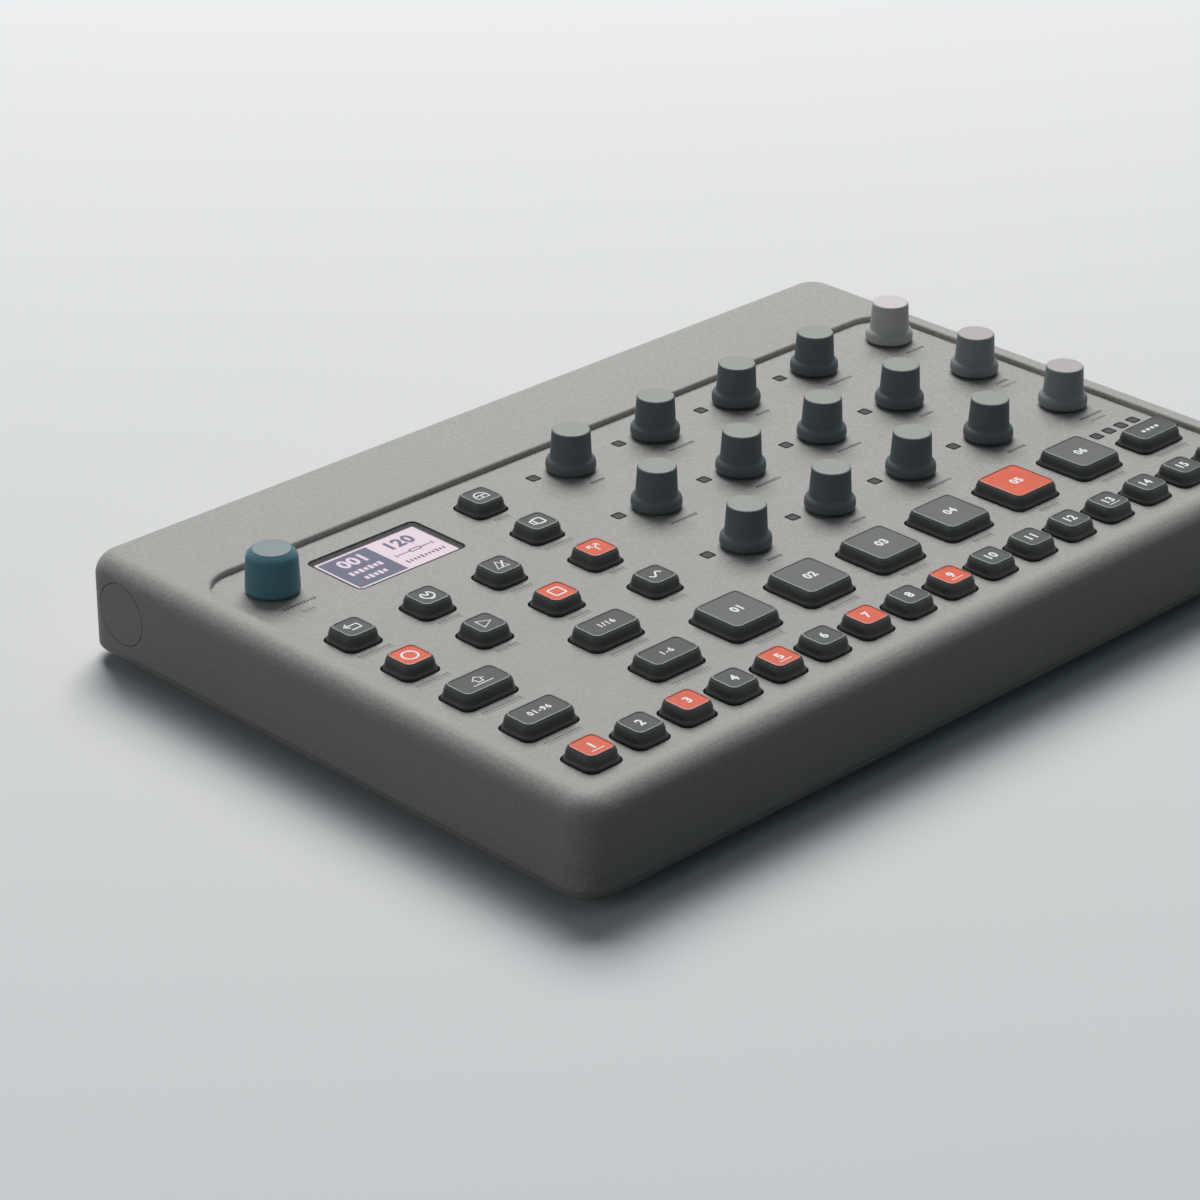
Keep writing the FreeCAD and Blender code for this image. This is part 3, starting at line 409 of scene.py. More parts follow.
@dataclass(frozen=True)
class BoardResin:
    """Circuit boards in green solder mask, with black plastic parts on them and on the rear wall.

    Attributes:
        name: Common name of the material and how its surface was made.
        mask: Colour of the solder mask over bare resin.
        track: Colour of the mask where copper lies under it.
        track_size: Size of the copper areas.
        track_share: Noise value above which there is copper.
        plastic: Colour of the parts on the boards.
        roughness: Typical roughness of both.
        main_board: Lower and upper level of the main board.
        jack_board: Lower and upper level of the jack board.
        wall_side: Depth behind which everything is plastic, in the rear wall's holes.
    """

    name: str = "solder mask over glass epoxy"
    mask: str = "#1F4A38"
    track: str = "#2C6149"
    track_size: float = 1.6
    track_share: float = 0.52
    plastic: str = "#17191A"
    roughness: float = 0.42
    main_board: Point = (16.6, 18.35)
    jack_board: Point = (7.4, 9.15)
    wall_side: float = 84.0

    def material(self) -> bpy.types.Material:
        """Build the material's nodes.

        Returns:
            The material.
        """
        made, tree = new_material(self.name)
        place = add_node(tree, "ShaderNodeTexCoord").outputs["Object"]
        axes = add_node(tree, "ShaderNodeSeparateXYZ", {0: place}).outputs
        on_main, on_jacks = (
            add_node(tree, "ShaderNodeMath", {
                0: axes["Z"], 1: (low + high) / 2 * METRES_PER_MM,
                2: (high - low) / 2 * METRES_PER_MM}, operation="COMPARE")
            for low, high in (self.main_board, self.jack_board))
        on_either = add_node(tree, "ShaderNodeMath", {0: on_main, 1: on_jacks},
                             operation="MAXIMUM")
        before_wall = add_node(tree, "ShaderNodeMath", {
            0: axes["Y"], 1: self.wall_side * METRES_PER_MM}, operation="LESS_THAN")
        on_boards = add_node(tree, "ShaderNodeMath", {0: on_either, 1: before_wall},
                             operation="MULTIPLY")
        tracks = add_node(tree, "ShaderNodeTexNoise", {
            "Vector": place, "Scale": 1 / (self.track_size * METRES_PER_MM), "Detail": 1.0})
        mask = add_node(tree, "ShaderNodeValToRGB", {0: tracks})
        mask.color_ramp.interpolation = "CONSTANT"
        bare, copper = mask.color_ramp.elements
        bare.color = linear(self.mask)
        copper.color = linear(self.track)
        copper.position = self.track_share
        mixed = add_node(tree, "ShaderNodeMix", {
            "Factor": on_boards, 6: linear(self.plastic), 7: mask}, data_type="RGBA")
        shader = add_node(tree, "ShaderNodeBsdfPrincipled", {
            "Base Color": mixed.outputs[2], "Roughness": self.roughness})
        add_node(tree, "ShaderNodeOutputMaterial", {"Surface": shader})
        return made


class Finish(Enum):
    """Every finish on the machine, each made once.

    The real textures of the mouldings are 0.1 to 0.3 mm grains. The render shows 0.3 mm to a
    pixel, so they are drawn at 0.6 mm and more.
    """

    # Spark-eroded ABS: matt, warm grey, a fine sandy grain that breaks up the highlights.
    CASE = Grained("spark-eroded ABS, warm grey", "#A9A5A1", 0.6, 0.9, 0.15, 0.17, 0.015, 60.0)
    # Powder-coated steel sheet: a soft orange-peel skin.
    PLATE = Grained("powder-coated steel sheet", "#8D8A86", 0.5, 1.4, 0.08, 0.05, 0.03, 50.0)
    # Moulded silicone: blue-black, with a soft sheen on its rounded shoulders.
    KEY = Grained("moulded silicone rubber, blue-black", "#1D2327", 0.52, 0.7, 0.02, 0.07, 0.05,
                  30.0, sheen=0.12)
    # Painted acrylic caps: even dark grey with a dusty speckle, a little paler on the pads.
    CAP = Grained("painted acrylic cap", "#434645", 0.55, 0.65, 0.02, 0.07, 0.05, 15.0,
                  specular=0.3)
    PAD_CAP = Grained("painted acrylic pad", "#5F625F", 0.55, 0.65, 0.02, 0.07, 0.05, 15.0,
                      specular=0.3)
    # The unpainted rim of a cap is bare acrylic that lets light through, and its pale colour adds
    # a painted highlight along the cap's edge.
    CAP_RIM = Grained("bare rim of an acrylic cap with painted highlight", "#8A8F8D", 0.35, 0.6, 0.01, 0.03, 0.03, 15.0,
                      specular=0.3)
    # Back-lit paint: a mild glow with brighter and duller patches over the lamp.
    LIT = Grained("back-lit painted acrylic cap", "#C24724", 0.5, 0.65, 0.02, 0.06, 0.1, 4.0,
                  glow=0.35, specular=0.3)
    # The rim of a lit cap picks up its colour and stays duller than its face.
    LIT_RIM = Grained("rim of a back-lit acrylic cap", "#B06A58", 0.35, 0.6, 0.01, 0.03, 0.05,
                      5.0)
    # Laser-cut legends in white, with a faint painted glow on every key whether its lamp is on or
    # off: they stay bright on dark and on lit caps.
    LEGEND = Grained("laser-cut legend, white with painted glow", "#E4E6E4", 0.5, 0.6, 0.01, 0.03, 0.02, 10.0,
                     glow=0.12)
    # Soft-touch rubber on the knobs: matt, with a slight bloom at low angles.
    KNOB = Grained("soft-touch rubber, slate", "#566166", 0.6, 0.7, 0.03, 0.05, 0.03, 12.0,
                   sheen=0.03)
    LEVEL_KNOB = Grained("soft-touch rubber, teal", "#4B8290", 0.55, 0.7, 0.03, 0.05, 0.03, 14.0,
                         sheen=0.08)
    PALE_KNOB = Grained("soft-touch rubber, pale grey", "#BEBFBD", 0.55, 0.7, 0.03, 0.04, 0.03,
                        12.0, sheen=0.08)
    GREY_KNOB = Grained("soft-touch rubber, mid grey", "#82888B", 0.55, 0.7, 0.03, 0.04, 0.03,
                        12.0, sheen=0.08)
    # The flat crowns are paler copies of the knobs' rubber, satin: the paler colour is a painted
    # highlight where light falls on the flat tops.
    CROWN = Grained("satin rubber crown with painted highlight, stone grey", "#8E948D", 0.5, 0.7, 0.02, 0.04, 0.02, 10.0)
    LEVEL_CROWN = Grained("satin rubber crown with painted highlight, pale teal", "#748689", 0.5, 0.7, 0.02, 0.04, 0.02,
                          10.0)
    PALE_CROWN = Grained("satin rubber crown with painted highlight, off-white", "#D8CDCE", 0.5, 0.7, 0.02, 0.03, 0.02,
                         10.0)
    GREY_CROWN = Grained("satin rubber crown with painted highlight, light grey", "#B6AFAE", 0.5, 0.7, 0.02, 0.03, 0.02,
                         10.0)
    # Frosted polycarbonate light guides with the lamp off, in a black frame.
    GUIDE = Grained("frosted polycarbonate", "#454543", 0.5, 0.6, 0.015, 0.05, 0.05, 8.0,
                    specular=0.15)
    MASK = Grained("black polycarbonate frame", "#0C0D0E", 0.6, 0.6, 0.01, 0.06, 0.04, 8.0,
                   specular=0.1)
    # Glass of the display round its lit field: dark, with a smooth gloss.
    GLASS = Grained("display glass with a dark mask", "#222522", 0.3, 0.6, 0.0, 0.04, 0.04, 10.0)
    # The lit field: an even pinkish white with a faint grid of cells, and slate-blue dark ones.
    BACKLIGHT = Grained("back-lit liquid crystal", "#E0CBDD", 0.4, 0.7, 0.0, 0.03, 0.03, 12.0,
                        glow=0.58)
    CRYSTAL = Grained("liquid crystal, dark cells", "#62658B", 0.4, 0.7, 0.0, 0.06, 0.04, 12.0,
                      glow=0.2, specular=0.2)
    # Pad-printed ink: thin enough to break up over the grain of the ABS.
    INK = Grained("pad-printed ink, dark grey", "#3E3F40", 0.6, 0.6, 0.01, 0.16, 0.05, 20.0)
    FAINT_INK = Grained("pad-printed ink, mid grey", "#737270", 0.6, 0.6, 0.01, 0.12, 0.05, 20.0)
    # Zinc-plated steel: grey metal with a faint cloudiness.
    STEEL = Grained("zinc-plated steel", "#A4A6A8", 0.35, 0.6, 0.01, 0.05, 0.08, 6.0, metallic=1.0)
    # Nickel-plated brass: brighter and warmer than the zinc, with sharp glints on thin rings.
    NICKEL = Grained("nickel-plated brass", "#C2BBAA", 0.25, 0.6, 0.005, 0.03, 0.05, 6.0,
                     metallic=1.0)
    # Glass-filled nylon: black with a dull, slightly fibrous sheen.
    SOCKET = Grained("glass-filled nylon, black", "#1B1D1F", 0.45, 0.6, 0.02, 0.06, 0.05, 8.0)
    # Moulded rubber: black and almost without gloss.
    FOOT = Grained("moulded rubber foot", "#1C1D1E", 0.75, 0.8, 0.04, 0.08, 0.06, 10.0)
    # Cast acrylic: invisible from above, with a clean gloss at low angles.
    LENS = Acrylic("cast acrylic lens")
    # Solder mask: green with paler copper areas, and black parts on it.
    BOARD = BoardResin()

    def material(self) -> bpy.types.Material:
        """The finish's material, made when it is first asked for."""
        found = bpy.data.materials.get(self.value.name)
        return found or self.value.material()

    def put_on(self, mesh: bpy.types.Mesh) -> None:
        """Give a mesh this finish and no other."""
        mesh.materials.clear()
        mesh.materials.append(self.material())


# Geometry Nodes

@dataclass
class Form:
    """A Geometry Nodes tree with named inputs, and the plain meshes made from it.

    Attributes:
        name: Name of the tree.
        inputs: Input name and its socket type.
        sockets: Input name and its socket identifier, filled as the inputs are made.
    """

    name: str
    inputs: dict[str, str]
    sockets: dict[str, str] = field(default_factory=dict)

    def __post_init__(self) -> None:
        """Make the tree's inputs and output, and read the shapes of the objects given to it."""
        self.tree = bpy.data.node_groups.new(self.name, "GeometryNodeTree")
        face = self.tree.interface
        face.new_socket(name="Geometry", in_out="INPUT", socket_type="NodeSocketGeometry")
        for label, kind in self.inputs.items():
            made = face.new_socket(name=label, in_out="INPUT", socket_type="NodeSocket" + kind)
            self.sockets[label] = made.identifier
        face.new_socket(name="Geometry", in_out="OUTPUT", socket_type="NodeSocketGeometry")
        self.given = self.tree.nodes.new("NodeGroupInput").outputs
        self.shapes = {
            label: self.add("ObjectInfo", {"Object": self.given[label]}).outputs["Geometry"]
            for label, kind in self.inputs.items() if kind == "Object"}

    def add(self, kind: str, inputs: dict[str | int, Any] | None = None,
            **settings: Any) -> bpy.types.Node:
        """Add a Geometry Nodes node to the tree; its kind comes without the prefix."""
        return add_node(self.tree, "GeometryNode" + kind, inputs, **settings)

    def end(self, geometry: Any, place: Any = (0.0, 0.0, 0.0), turn: Any = (0.0, 0.0, 0.0),
            material: Any = None) -> None:
        """End the tree: put the shape in its place, in metres, and realise it.

        Args:
            geometry: Geometry in millimetres.
            place: Where its origin goes, in millimetres.
            turn: Rotation before it is moved.
            material: Material of the whole, or None where its parts have theirs.
        """
        placed = self.add("Transform", {"Geometry": geometry, "Translation": place,
                                        "Rotation": turn})
        scaled = self.add("Transform", {"Geometry": placed, "Scale": (METRES_PER_MM,) * 3})
        result = self.add("RealizeInstances", {"Geometry": scaled})
        if material is not None:
            result = self.add("SetMaterial", {"Geometry": result, "Material": material})
        add_node(self.tree, "NodeGroupOutput", {"Geometry": result})

    def bake(self, name: str, **values: Any) -> bpy.types.Object:
        """Make one plain mesh object from the tree.

        Args:
            name: Name of the piece.
            **values: Input values; an underscore stands for a space in the input's name.

        Returns:
            The piece, with its origin at the scene's origin.
        """
        piece = link(bpy.data.objects.new(name, bpy.data.meshes.new(name)))
        modifier = piece.modifiers.new(self.name, "NODES")
        modifier.node_group = self.tree
        for label, value in values.items():
            modifier[self.sockets[label.replace("_", " ")]] = value
        mesh = evaluated_mesh(piece)
        piece.modifiers.clear()
        piece.data = mesh
        mesh.name = name
        smooth(mesh)
        return piece


def ridge_form() -> Form:
    """Tree for flat raised strokes: printed signs and the display's lines.

    Returns:
        The tree.
    """
    form = Form("stroke", {"Lines": "Object", "Width": "Float", "Thickness": "Float",
                           "Place": "Vector", "Turn": "Rotation", "Material": "Material"})
    flat = form.add("CurvePrimitiveQuadrilateral", {
        "Width": form.given["Width"], "Height": form.given["Thickness"]})
    path = form.add("SetCurveNormal", {"Curve": form.shapes["Lines"]}, mode="Z_UP")
    swept = form.add("CurveToMesh", {"Curve": path, "Profile Curve": flat, "Fill Caps": True})
    form.end(swept, form.given["Place"], form.given["Turn"], form.given["Material"])
    return form


def lathe_form() -> Form:
    """Tree for turned pieces: a section swept round an axis.

    Returns:
        The tree.
    """
    form = Form("turned piece", {"Section": "Object", "Round": "Float", "Segments": "Int",
                                 "Place": "Vector", "Turn": "Rotation", "Material": "Material"})
    guide_radius = 1.0
    ring = form.add("CurvePrimitiveCircle", {"Resolution": form.given["Segments"],
                                             "Radius": guide_radius})
    path = form.add("SetCurveNormal", {"Curve": ring}, mode="Z_UP")
    rounded = form.add("FilletCurve", {
        "Curve": form.shapes["Section"], "Count": 4, "Radius": form.given["Round"],
        "Limit Radius": True}, mode="POLY")
    from_axis = form.add("Transform", {"Geometry": rounded,
                                       "Translation": (-guide_radius, 0.0, 0.0)})
    swept = form.add("CurveToMesh", {"Curve": path, "Profile Curve": from_axis})
    welded = form.add("MergeByDistance", {"Geometry": swept, "Distance": WELD_MM})
    form.end(welded, form.given["Place"], form.given["Turn"], form.given["Material"])
    return form


def spread_form() -> Form:
    """Tree that sets one shape on many points, each stretched by the point's own size.

    Returns:
        The tree.
    """
    form = Form("repeated piece", {"Points": "Object", "Shape": "Object", "Material": "Material"})
    size = form.add("InputNamedAttribute", {"Name": "size"}, data_type="FLOAT_VECTOR")
    spread = form.add("InstanceOnPoints", {
        "Points": form.shapes["Points"], "Instance": form.shapes["Shape"],
        "Scale": size.outputs["Attribute"]})
    form.end(spread, material=form.given["Material"])
    return form


def key_form() -> Form:
    """Tree for a key: a rubber flank round a rounded outline, a rimmed cap and its legend.

    Returns:
        The tree.
    """
    form = Form("rubber key", {
        "Width": "Float", "Depth": "Float", "Corner": "Float", "Softness": "Float",
        "Flank": "Object", "Rim": "Object", "Foot Level": "Float", "Cap Level": "Float",
        "Legend": "Object", "Place": "Vector", "Body": "Material", "Edge": "Material",
        "Cap": "Material", "Sign": "Material"})
    given = form.given
    outline = form.add("CurvePrimitiveQuadrilateral", {
        "Width": given["Width"], "Height": given["Depth"]})
    outline = form.add("FilletCurve", {
        "Curve": outline, "Count": 8, "Radius": given["Corner"], "Limit Radius": True},
        mode="POLY")
    outline = form.add("SetCurveNormal", {"Curve": outline}, mode="Z_UP")
    soft = form.add("FilletCurve", {
        "Curve": form.shapes["Flank"], "Count": 3, "Radius": given["Softness"],
        "Limit Radius": True}, mode="POLY")
    flank = form.add("CurveToMesh", {"Curve": outline, "Profile Curve": soft})
    edge = form.add("CurveToMesh", {"Curve": outline, "Profile Curve": form.shapes["Rim"]})
    wall = form.add("JoinGeometry", {"Geometry": [
        form.add("SetMaterial", {"Geometry": flank, "Material": given["Body"]}),
        form.add("SetMaterial", {"Geometry": edge, "Material": given["Edge"]})]})
    wall = form.add("MergeByDistance", {"Geometry": wall, "Distance": WELD_MM})
    # An edge with one face lies on the open top or foot, and each of the two gets a lid.
    border = add_node(form.tree, "FunctionNodeCompare", {
        2: form.add("InputMeshEdgeNeighbors"), 3: 1}, data_type="INT", operation="EQUAL")
    height = add_node(form.tree, "ShaderNodeSeparateXYZ", {
        0: form.add("InputPosition")}).outputs["Z"]
    pieces = [wall]
    for level, test, finish in ((given["Cap Level"], "GREATER_THAN", given["Cap"]),
                                (given["Foot Level"], "LESS_THAN", given["Body"])):
        side = add_node(form.tree, "FunctionNodeCompare", {0: height, 1: 0.0},
                        data_type="FLOAT", operation=test)
        picked = add_node(form.tree, "FunctionNodeBooleanMath", {0: border, 1: side},
                          operation="AND")
        rim = form.add("MeshToCurve", {"Mesh": wall, "Selection": picked})
        lid = form.add("FillCurve", {"Curve": rim}, mode="NGONS")
        lift = add_node(form.tree, "ShaderNodeCombineXYZ", {"Z": level})
        lid = form.add("Transform", {"Geometry": lid, "Translation": lift})
        pieces.append(form.add("SetMaterial", {"Geometry": lid, "Material": finish}))
    solid = form.add("JoinGeometry", {"Geometry": pieces})
    solid = form.add("MergeByDistance", {"Geometry": solid, "Distance": WELD_MM})
    lift = add_node(form.tree, "ShaderNodeCombineXYZ", {"Z": given["Cap Level"]})
    sign = form.add("Transform", {"Geometry": form.shapes["Legend"], "Translation": lift,
                                  "Scale": (1 / METRES_PER_MM,) * 3})
    sign = form.add("SetMaterial", {"Geometry": sign, "Material": given["Sign"]})
    form.end(form.add("JoinGeometry", {"Geometry": [solid, sign]}), given["Place"])
    return form


# Solids, points and pieces

def prism(name: str, outline: Line, low: float, high: float, bevel: float = 0.0,
          finish: Finish | None = None) -> bpy.types.Object:
    """Make an upright solid over a closed outline, in millimetres.

    Args:
        name: Name of the object.
        outline: Outline that ends where it starts, counter-clockwise.
        low: Height of its underside.
        high: Height of its top.
        bevel: Width of the rounding round its top.
        finish: Its finish, if it has one yet.

    Returns:
        The solid.
    """
    work = bmesh.new()
    foot = work.faces.new([work.verts.new((x, y, low)) for x, y in outline[:-1]])
    raised = bmesh.ops.extrude_face_region(work, geom=[foot])["geom"]
    top = [part for part in raised if isinstance(part, bmesh.types.BMFace)]
    bmesh.ops.translate(work, verts=top[0].verts, vec=(0, 0, high - low))
    if bevel:
        bmesh.ops.bevel(work, geom=list(top[0].edges), offset=bevel, segments=2, profile=0.5,
                        affect="EDGES")
    bmesh.ops.recalc_face_normals(work, faces=work.faces)
    solid = mesh_object(name, work)
    if finish:
        finish.put_on(solid.data)
    return solid


def to_metres(piece: bpy.types.Object) -> bpy.types.Object:
    """Bring a piece made in millimetres to metres, and shade it.

    Args:
        piece: Object at the origin.

    Returns:
        The same piece.
    """
    piece.data.transform(Matrix.Scale(METRES_PER_MM, 4))
    shade(piece.data)
    return piece


def scattered(name: str, spots: Sequence[Spot],
              sizes: Sequence[Spot] | None = None) -> bpy.types.Object:
    """Make points for a repeated piece.

    Args:
        name: Name of the helper object.
        spots: Places in millimetres.
        sizes: Stretch of what stands on each point, or nothing for its own size.

    Returns:
        The points.
    """
    mesh = bpy.data.meshes.new(name)
    mesh.from_pydata(list(spots), [], [])
    stretch = mesh.attributes.new("size", "FLOAT_VECTOR", "POINT")
    for entry, size in zip(stretch.data, sizes or [(1.0, 1.0, 1.0)] * len(spots)):
        entry.vector = size
    return link(bpy.data.objects.new(name, mesh))


def merge(name: str, parts: list[bpy.types.Object]) -> bpy.types.Object:
    """Join mesh objects at the origin into one, keeping each part's materials.

    Args:
        name: Name of the result.
        parts: Objects to join; they are removed.

    Returns:
        The joined object.
    """
    finishes: list[bpy.types.Material] = []
    work = bmesh.new()
    for part in parts:
        slots = []
        for finish in part.data.materials:
            if finish not in finishes:
                finishes.append(finish)
            slots.append(finishes.index(finish))
        first = len(work.faces)
        work.from_mesh(part.data)
        work.faces.ensure_lookup_table()
        for face in work.faces[first:]:
            if slots:
                face.material_index = slots[face.material_index]
    bmesh.ops.remove_doubles(work, verts=work.verts, dist=WELD_MM / 2 * METRES_PER_MM)
    discard(*parts)
    piece = mesh_object(name, work)
    for finish in finishes:
        piece.data.materials.append(finish)
    piece.data.set_sharp_from_angle(angle=SHARP_ANGLE)
    return piece


def finish_piece(piece: bpy.types.Object, body: str, slot: str, *nodes: str) -> None:
    """Tie a piece to its body and hide the CAD nodes it stands for.

    Args:
        piece: The finished piece.
        body: CAD body that it rides on.
        slot: The record's material slot; not used.
        *nodes: CAD nodes that it replaces.
    """
    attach(piece, body)
    if nodes:
        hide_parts(*nodes)
    log.info("%s: %d faces, rides on %s", piece.name, len(piece.data.polygons), body)


# Signs on the keys and the panel

@dataclass
class Sign:
    """A flat sign round its own middle: drawn lines, figures and bars.

    Attributes:
        lines: Lines, each an open run of points; a shape closes by ending where it starts.
        figures: A plain number, or nothing.
        height: Height of the figures.
        stroke: Width of the lines.
        bars: Filled bars as x, y, width and height.
        thickness: Thickness of the sign.
        spacing: Spacing of the figures.
        boldness: How much fatter the figures are than the plain font, to a font height of 1.
    """

    lines: list[Line] = field(default_factory=list)
    figures: str = ""
    height: float = 2.8
    stroke: float = 0.52
    bars: list[Bar] = field(default_factory=list)
    thickness: float = 0.04
    spacing: float = 1.08
    boldness: float = 0.035

    def mesh(self, name: str, strokes: Form) -> bpy.types.Object:
        """Make the sign as one mesh object at the origin.

        Args:
            name: Name of the object.
            strokes: Tree that sweeps the lines.

        Returns:
            The sign, in metres.
        """
        parts = []
        if self.lines:
            drawn = poly_curve(name, self.lines, True)
            parts.append(strokes.bake(name, Lines=drawn, Width=self.stroke,
                                      Thickness=self.thickness))
            discard(drawn)
        if self.figures:
            parts.append(self.set_figures(name))
        if self.bars:
            parts.append(self.filled_bars(name))
        return merge(name, parts)

    def set_figures(self, name: str) -> bpy.types.Object:
        """Make the figures as a mesh of the wanted height and thickness.

        Args:
            name: Name of the object.

        Returns:
            The figures, centred on the origin.
        """
        text = bpy.data.curves.new(name, "FONT")
        text.body = self.figures
        text.extrude = 0.5
        text.offset = self.boldness
        text.resolution_u = 4
        text.space_character = self.spacing
        carrier = link(bpy.data.objects.new(name, text))
        mesh = evaluated_mesh(carrier)
        discard(carrier)
        spots = [vertex.co.copy() for vertex in mesh.vertices]
        low = Vector([min(s[i] for s in spots) for i in range(3)])
        high = Vector([max(s[i] for s in spots) for i in range(3)])
        middle = (low + high) / 2
        scale = self.height / (high.y - low.y) * METRES_PER_MM
        for vertex in mesh.vertices:
            from_middle = (vertex.co - middle) * scale
            from_middle.z = math.copysign(self.thickness / 2 * METRES_PER_MM,
                                          vertex.co.z - middle.z)
            vertex.co = from_middle
        smooth(mesh, 0.001)
        return link(bpy.data.objects.new(name, mesh))

    def filled_bars(self, name: str) -> bpy.types.Object:
        """Make the bars as thin blocks.

        Args:
            name: Name of the object.

        Returns:
            The bars.
        """
        work = bmesh.new()
        for x, y, width, height in self.bars:
            block = bmesh.ops.create_cube(work, size=1.0)["verts"]
            bmesh.ops.scale(work, verts=block, vec=(width, height, self.thickness))
            bmesh.ops.translate(work, verts=block, vec=(x, y, 0))
        bmesh.ops.scale(work, verts=work.verts, vec=(METRES_PER_MM,) * 3)
        return mesh_object(name, work)


def key_signs() -> dict[str, Sign]:
    """Plain signs for the keys that carry no number.

    Returns:
        Each sign by the first word of its key's name.
    """
    wave = [(x / 10, 1.0 * math.sin(x / 10 * math.pi / 2.1)) for x in range(-21, 22, 2)]
    return {
        "back": Sign([[(-1.9, 0.9), (1.8, 0.9), (1.8, -1.2), (-1.2, -1.2)],
                      [(-0.8, 2.0), (-2.0, 0.9), (-0.8, -0.2)]]),
        "settings": Sign([arc((0, 0), 1.75, 118, 422, 22) + [(0.5, 0.6)]
                          + arc((0, 0.55), 0.5, 0, -180, 6) + [(-0.82, 1.55)],
                          [(-0.5, -1.75), (-0.5, -2.1), (0.5, -2.1), (0.5, -1.75)]]),
        "tempo": Sign([[(-1.9, -1.6), (1.9, -1.6), (0.0, 1.9), (-1.9, -1.6)],
                       [(-0.1, -1.3), (1.9, 1.5)]]),
        "record": Sign([arc((0, 0), 2.0, 0, 360, 32)]),
        "play": Sign([[(-1.5, -1.8), (2.0, 0.0), (-1.5, 1.8), (-1.5, -1.8)]]),
        "stop": Sign([rounded_box_line(3.5, 3.5, 0.5)]),
        "wave": Sign([wave]),
        "chance": Sign([[(0.0, -1.9), (0.0, 0.0), (-1.6, 1.5)], [(0.0, 0.0), (1.6, 1.5)],
                        [(-1.7, 0.3), (-1.7, 1.6), (-0.4, 1.6)],
                        [(0.4, 1.6), (1.7, 1.6), (1.7, 0.3)]], stroke=0.42),
        "song": Sign([rounded_box_line(2.6, 3.0, 0.5, (0.5, 0.0)),
                      [(-0.8, 1.3), (-1.9, 0.9), (-1.9, -0.9), (-0.8, -1.3)]]),
        "sound": Sign([[(-1.9, -1.4)] + arc((0, -0.1), 1.9, 180, 0, 14)
                       + [(1.9, -1.4), (-1.9, -1.4)],
                       [(-1.8, 0.2), (1.8, 0.2)], [(0.0, 0.2), (0.0, -1.3)]], stroke=0.4),
        "pattern": Sign(figures="01-96", height=2.0, spacing=1.2),
        "function": Sign([[(0.0, 1.75), (-1.75, 0.3), (-0.8, 0.3), (-0.8, -0.9), (0.8, -0.9),
                           (0.8, 0.3), (1.75, 0.3), (0.0, 1.75)]],
                         bars=[(0.0, -1.75, 6.2, 0.3)], stroke=0.42),
        "track": Sign(figures="1-6", height=2.0, spacing=1.25),
        "retrigger": Sign(figures="1/16", height=2.0, spacing=1.2),
        "page": Sign(bars=[(-2.7 + 1.8 * i, 0.0, 1.1, 1.1) for i in range(4)]),
    }


# Keys

@dataclass
class Keyboard:
    """All thirty-seven keys.

    Attributes:
        lip: Width of each key's hidden lip under the panel.
        corner: Corner radius at the foot.
        softness: Largest rounding between the stretches of the flank.
        cap_level: Height of a cap's painted face above the panel, a little under its rim.
        foot_level: Bottom of the visible body, below the panel's surface.
        legend_height: Height of the numbers.
        underline: The bar under a number, as x, y, width and height.
        lit: Keys whose lamp is on.
        beats: Step keys with an underlined number.
    """

    lip: float = 1.1
    corner: float = 3.2
    softness: float = 0.35
    cap_level: float = 3.62
    foot_level: float = -2.2
    legend_height: float = 2.8
    underline: Bar = (0.0, -2.15, 4.0, 0.28)
    lit: tuple[str, ...] = ("record_key", "stop_key", "chance_key", "pad_key_5", "trig_key_01",
                            "trig_key_03", "trig_key_05", "trig_key_07", "trig_key_09")
    beats: tuple[int, ...] = (1, 5, 9, 13)

    def flank(self) -> list[Point]:
        """Section of the rubber: a foot flange, a notch, a leaning flank and a round shoulder."""
        return [(0.0, self.foot_level), (0.0, 0.65), (-0.28, 0.95), (-0.42, 1.2),
                (-0.62, 2.35), (-0.95, 3.2), (-1.4, 3.6)]

    def rim(self) -> list[Point]:
        """Section of the cap's raised bare rim, from the rubber over to the painted face."""
        return [(-1.4, 3.6), (-1.43, 3.76), (-1.5, 3.8), (-1.74, 3.8), (-1.84, self.cap_level)]

    def sign(self, node: str, signs: dict[str, Sign]) -> Sign:
        """Choose a key's sign: a number on step keys and pads, a symbol on the others.

        Args:
            node: CAD node of the key.
            signs: Signs by the first word of the node's name.

        Returns:
            The sign.
        """
        first, _, rest = node.partition("_")
        if first == "trig":
            number = int(rest[-2:])
            bars = [self.underline] if number in self.beats else []
            return Sign(figures=str(number), height=self.legend_height, bars=bars)
        if first == "pad":
            return Sign(figures="0" + rest[-1], height=self.legend_height)
        return signs[first]

    def build(self, strokes: Form) -> None:
        """Build every key and let it stand for its CAD node.

        Args:
            strokes: Tree that sweeps the lines of the signs.
        """
        form = key_form()
        signs = key_signs()
        flank = section("flank section", self.flank())
        rim = section("rim section", self.rim())
        for node in sorted(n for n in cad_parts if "_key" in n):
            low, high, middle = node_box(node)
            legend = self.sign(node, signs).mesh("legend", strokes)
            # The pale rim finish carries a painted highlight along the cap's edge.
            cap, edge = Finish.CAP, Finish.CAP_RIM
            if node in self.lit:
                cap, edge = Finish.LIT, Finish.LIT_RIM
            elif node.startswith("pad"):
                cap = Finish.PAD_CAP
            # Every legend gets the same faint painted glow, whether its key's lamp is on or off.
            piece = form.bake(
                "soft_" + node, Width=high.x - low.x - 2 * self.lip,
                Depth=high.y - low.y - 2 * self.lip, Corner=self.corner, Softness=self.softness,
                Flank=flank, Rim=rim, Foot_Level=self.foot_level, Cap_Level=self.cap_level,
                Legend=legend, Place=(middle.x, middle.y, PANEL_Z), Body=Finish.KEY.material(),
                Edge=edge.material(), Cap=cap.material(), Sign=Finish.LEGEND.material())
            discard(legend)
            finish_piece(piece, node, "key_rubber", node)
        discard(flank, rim)


# Knobs

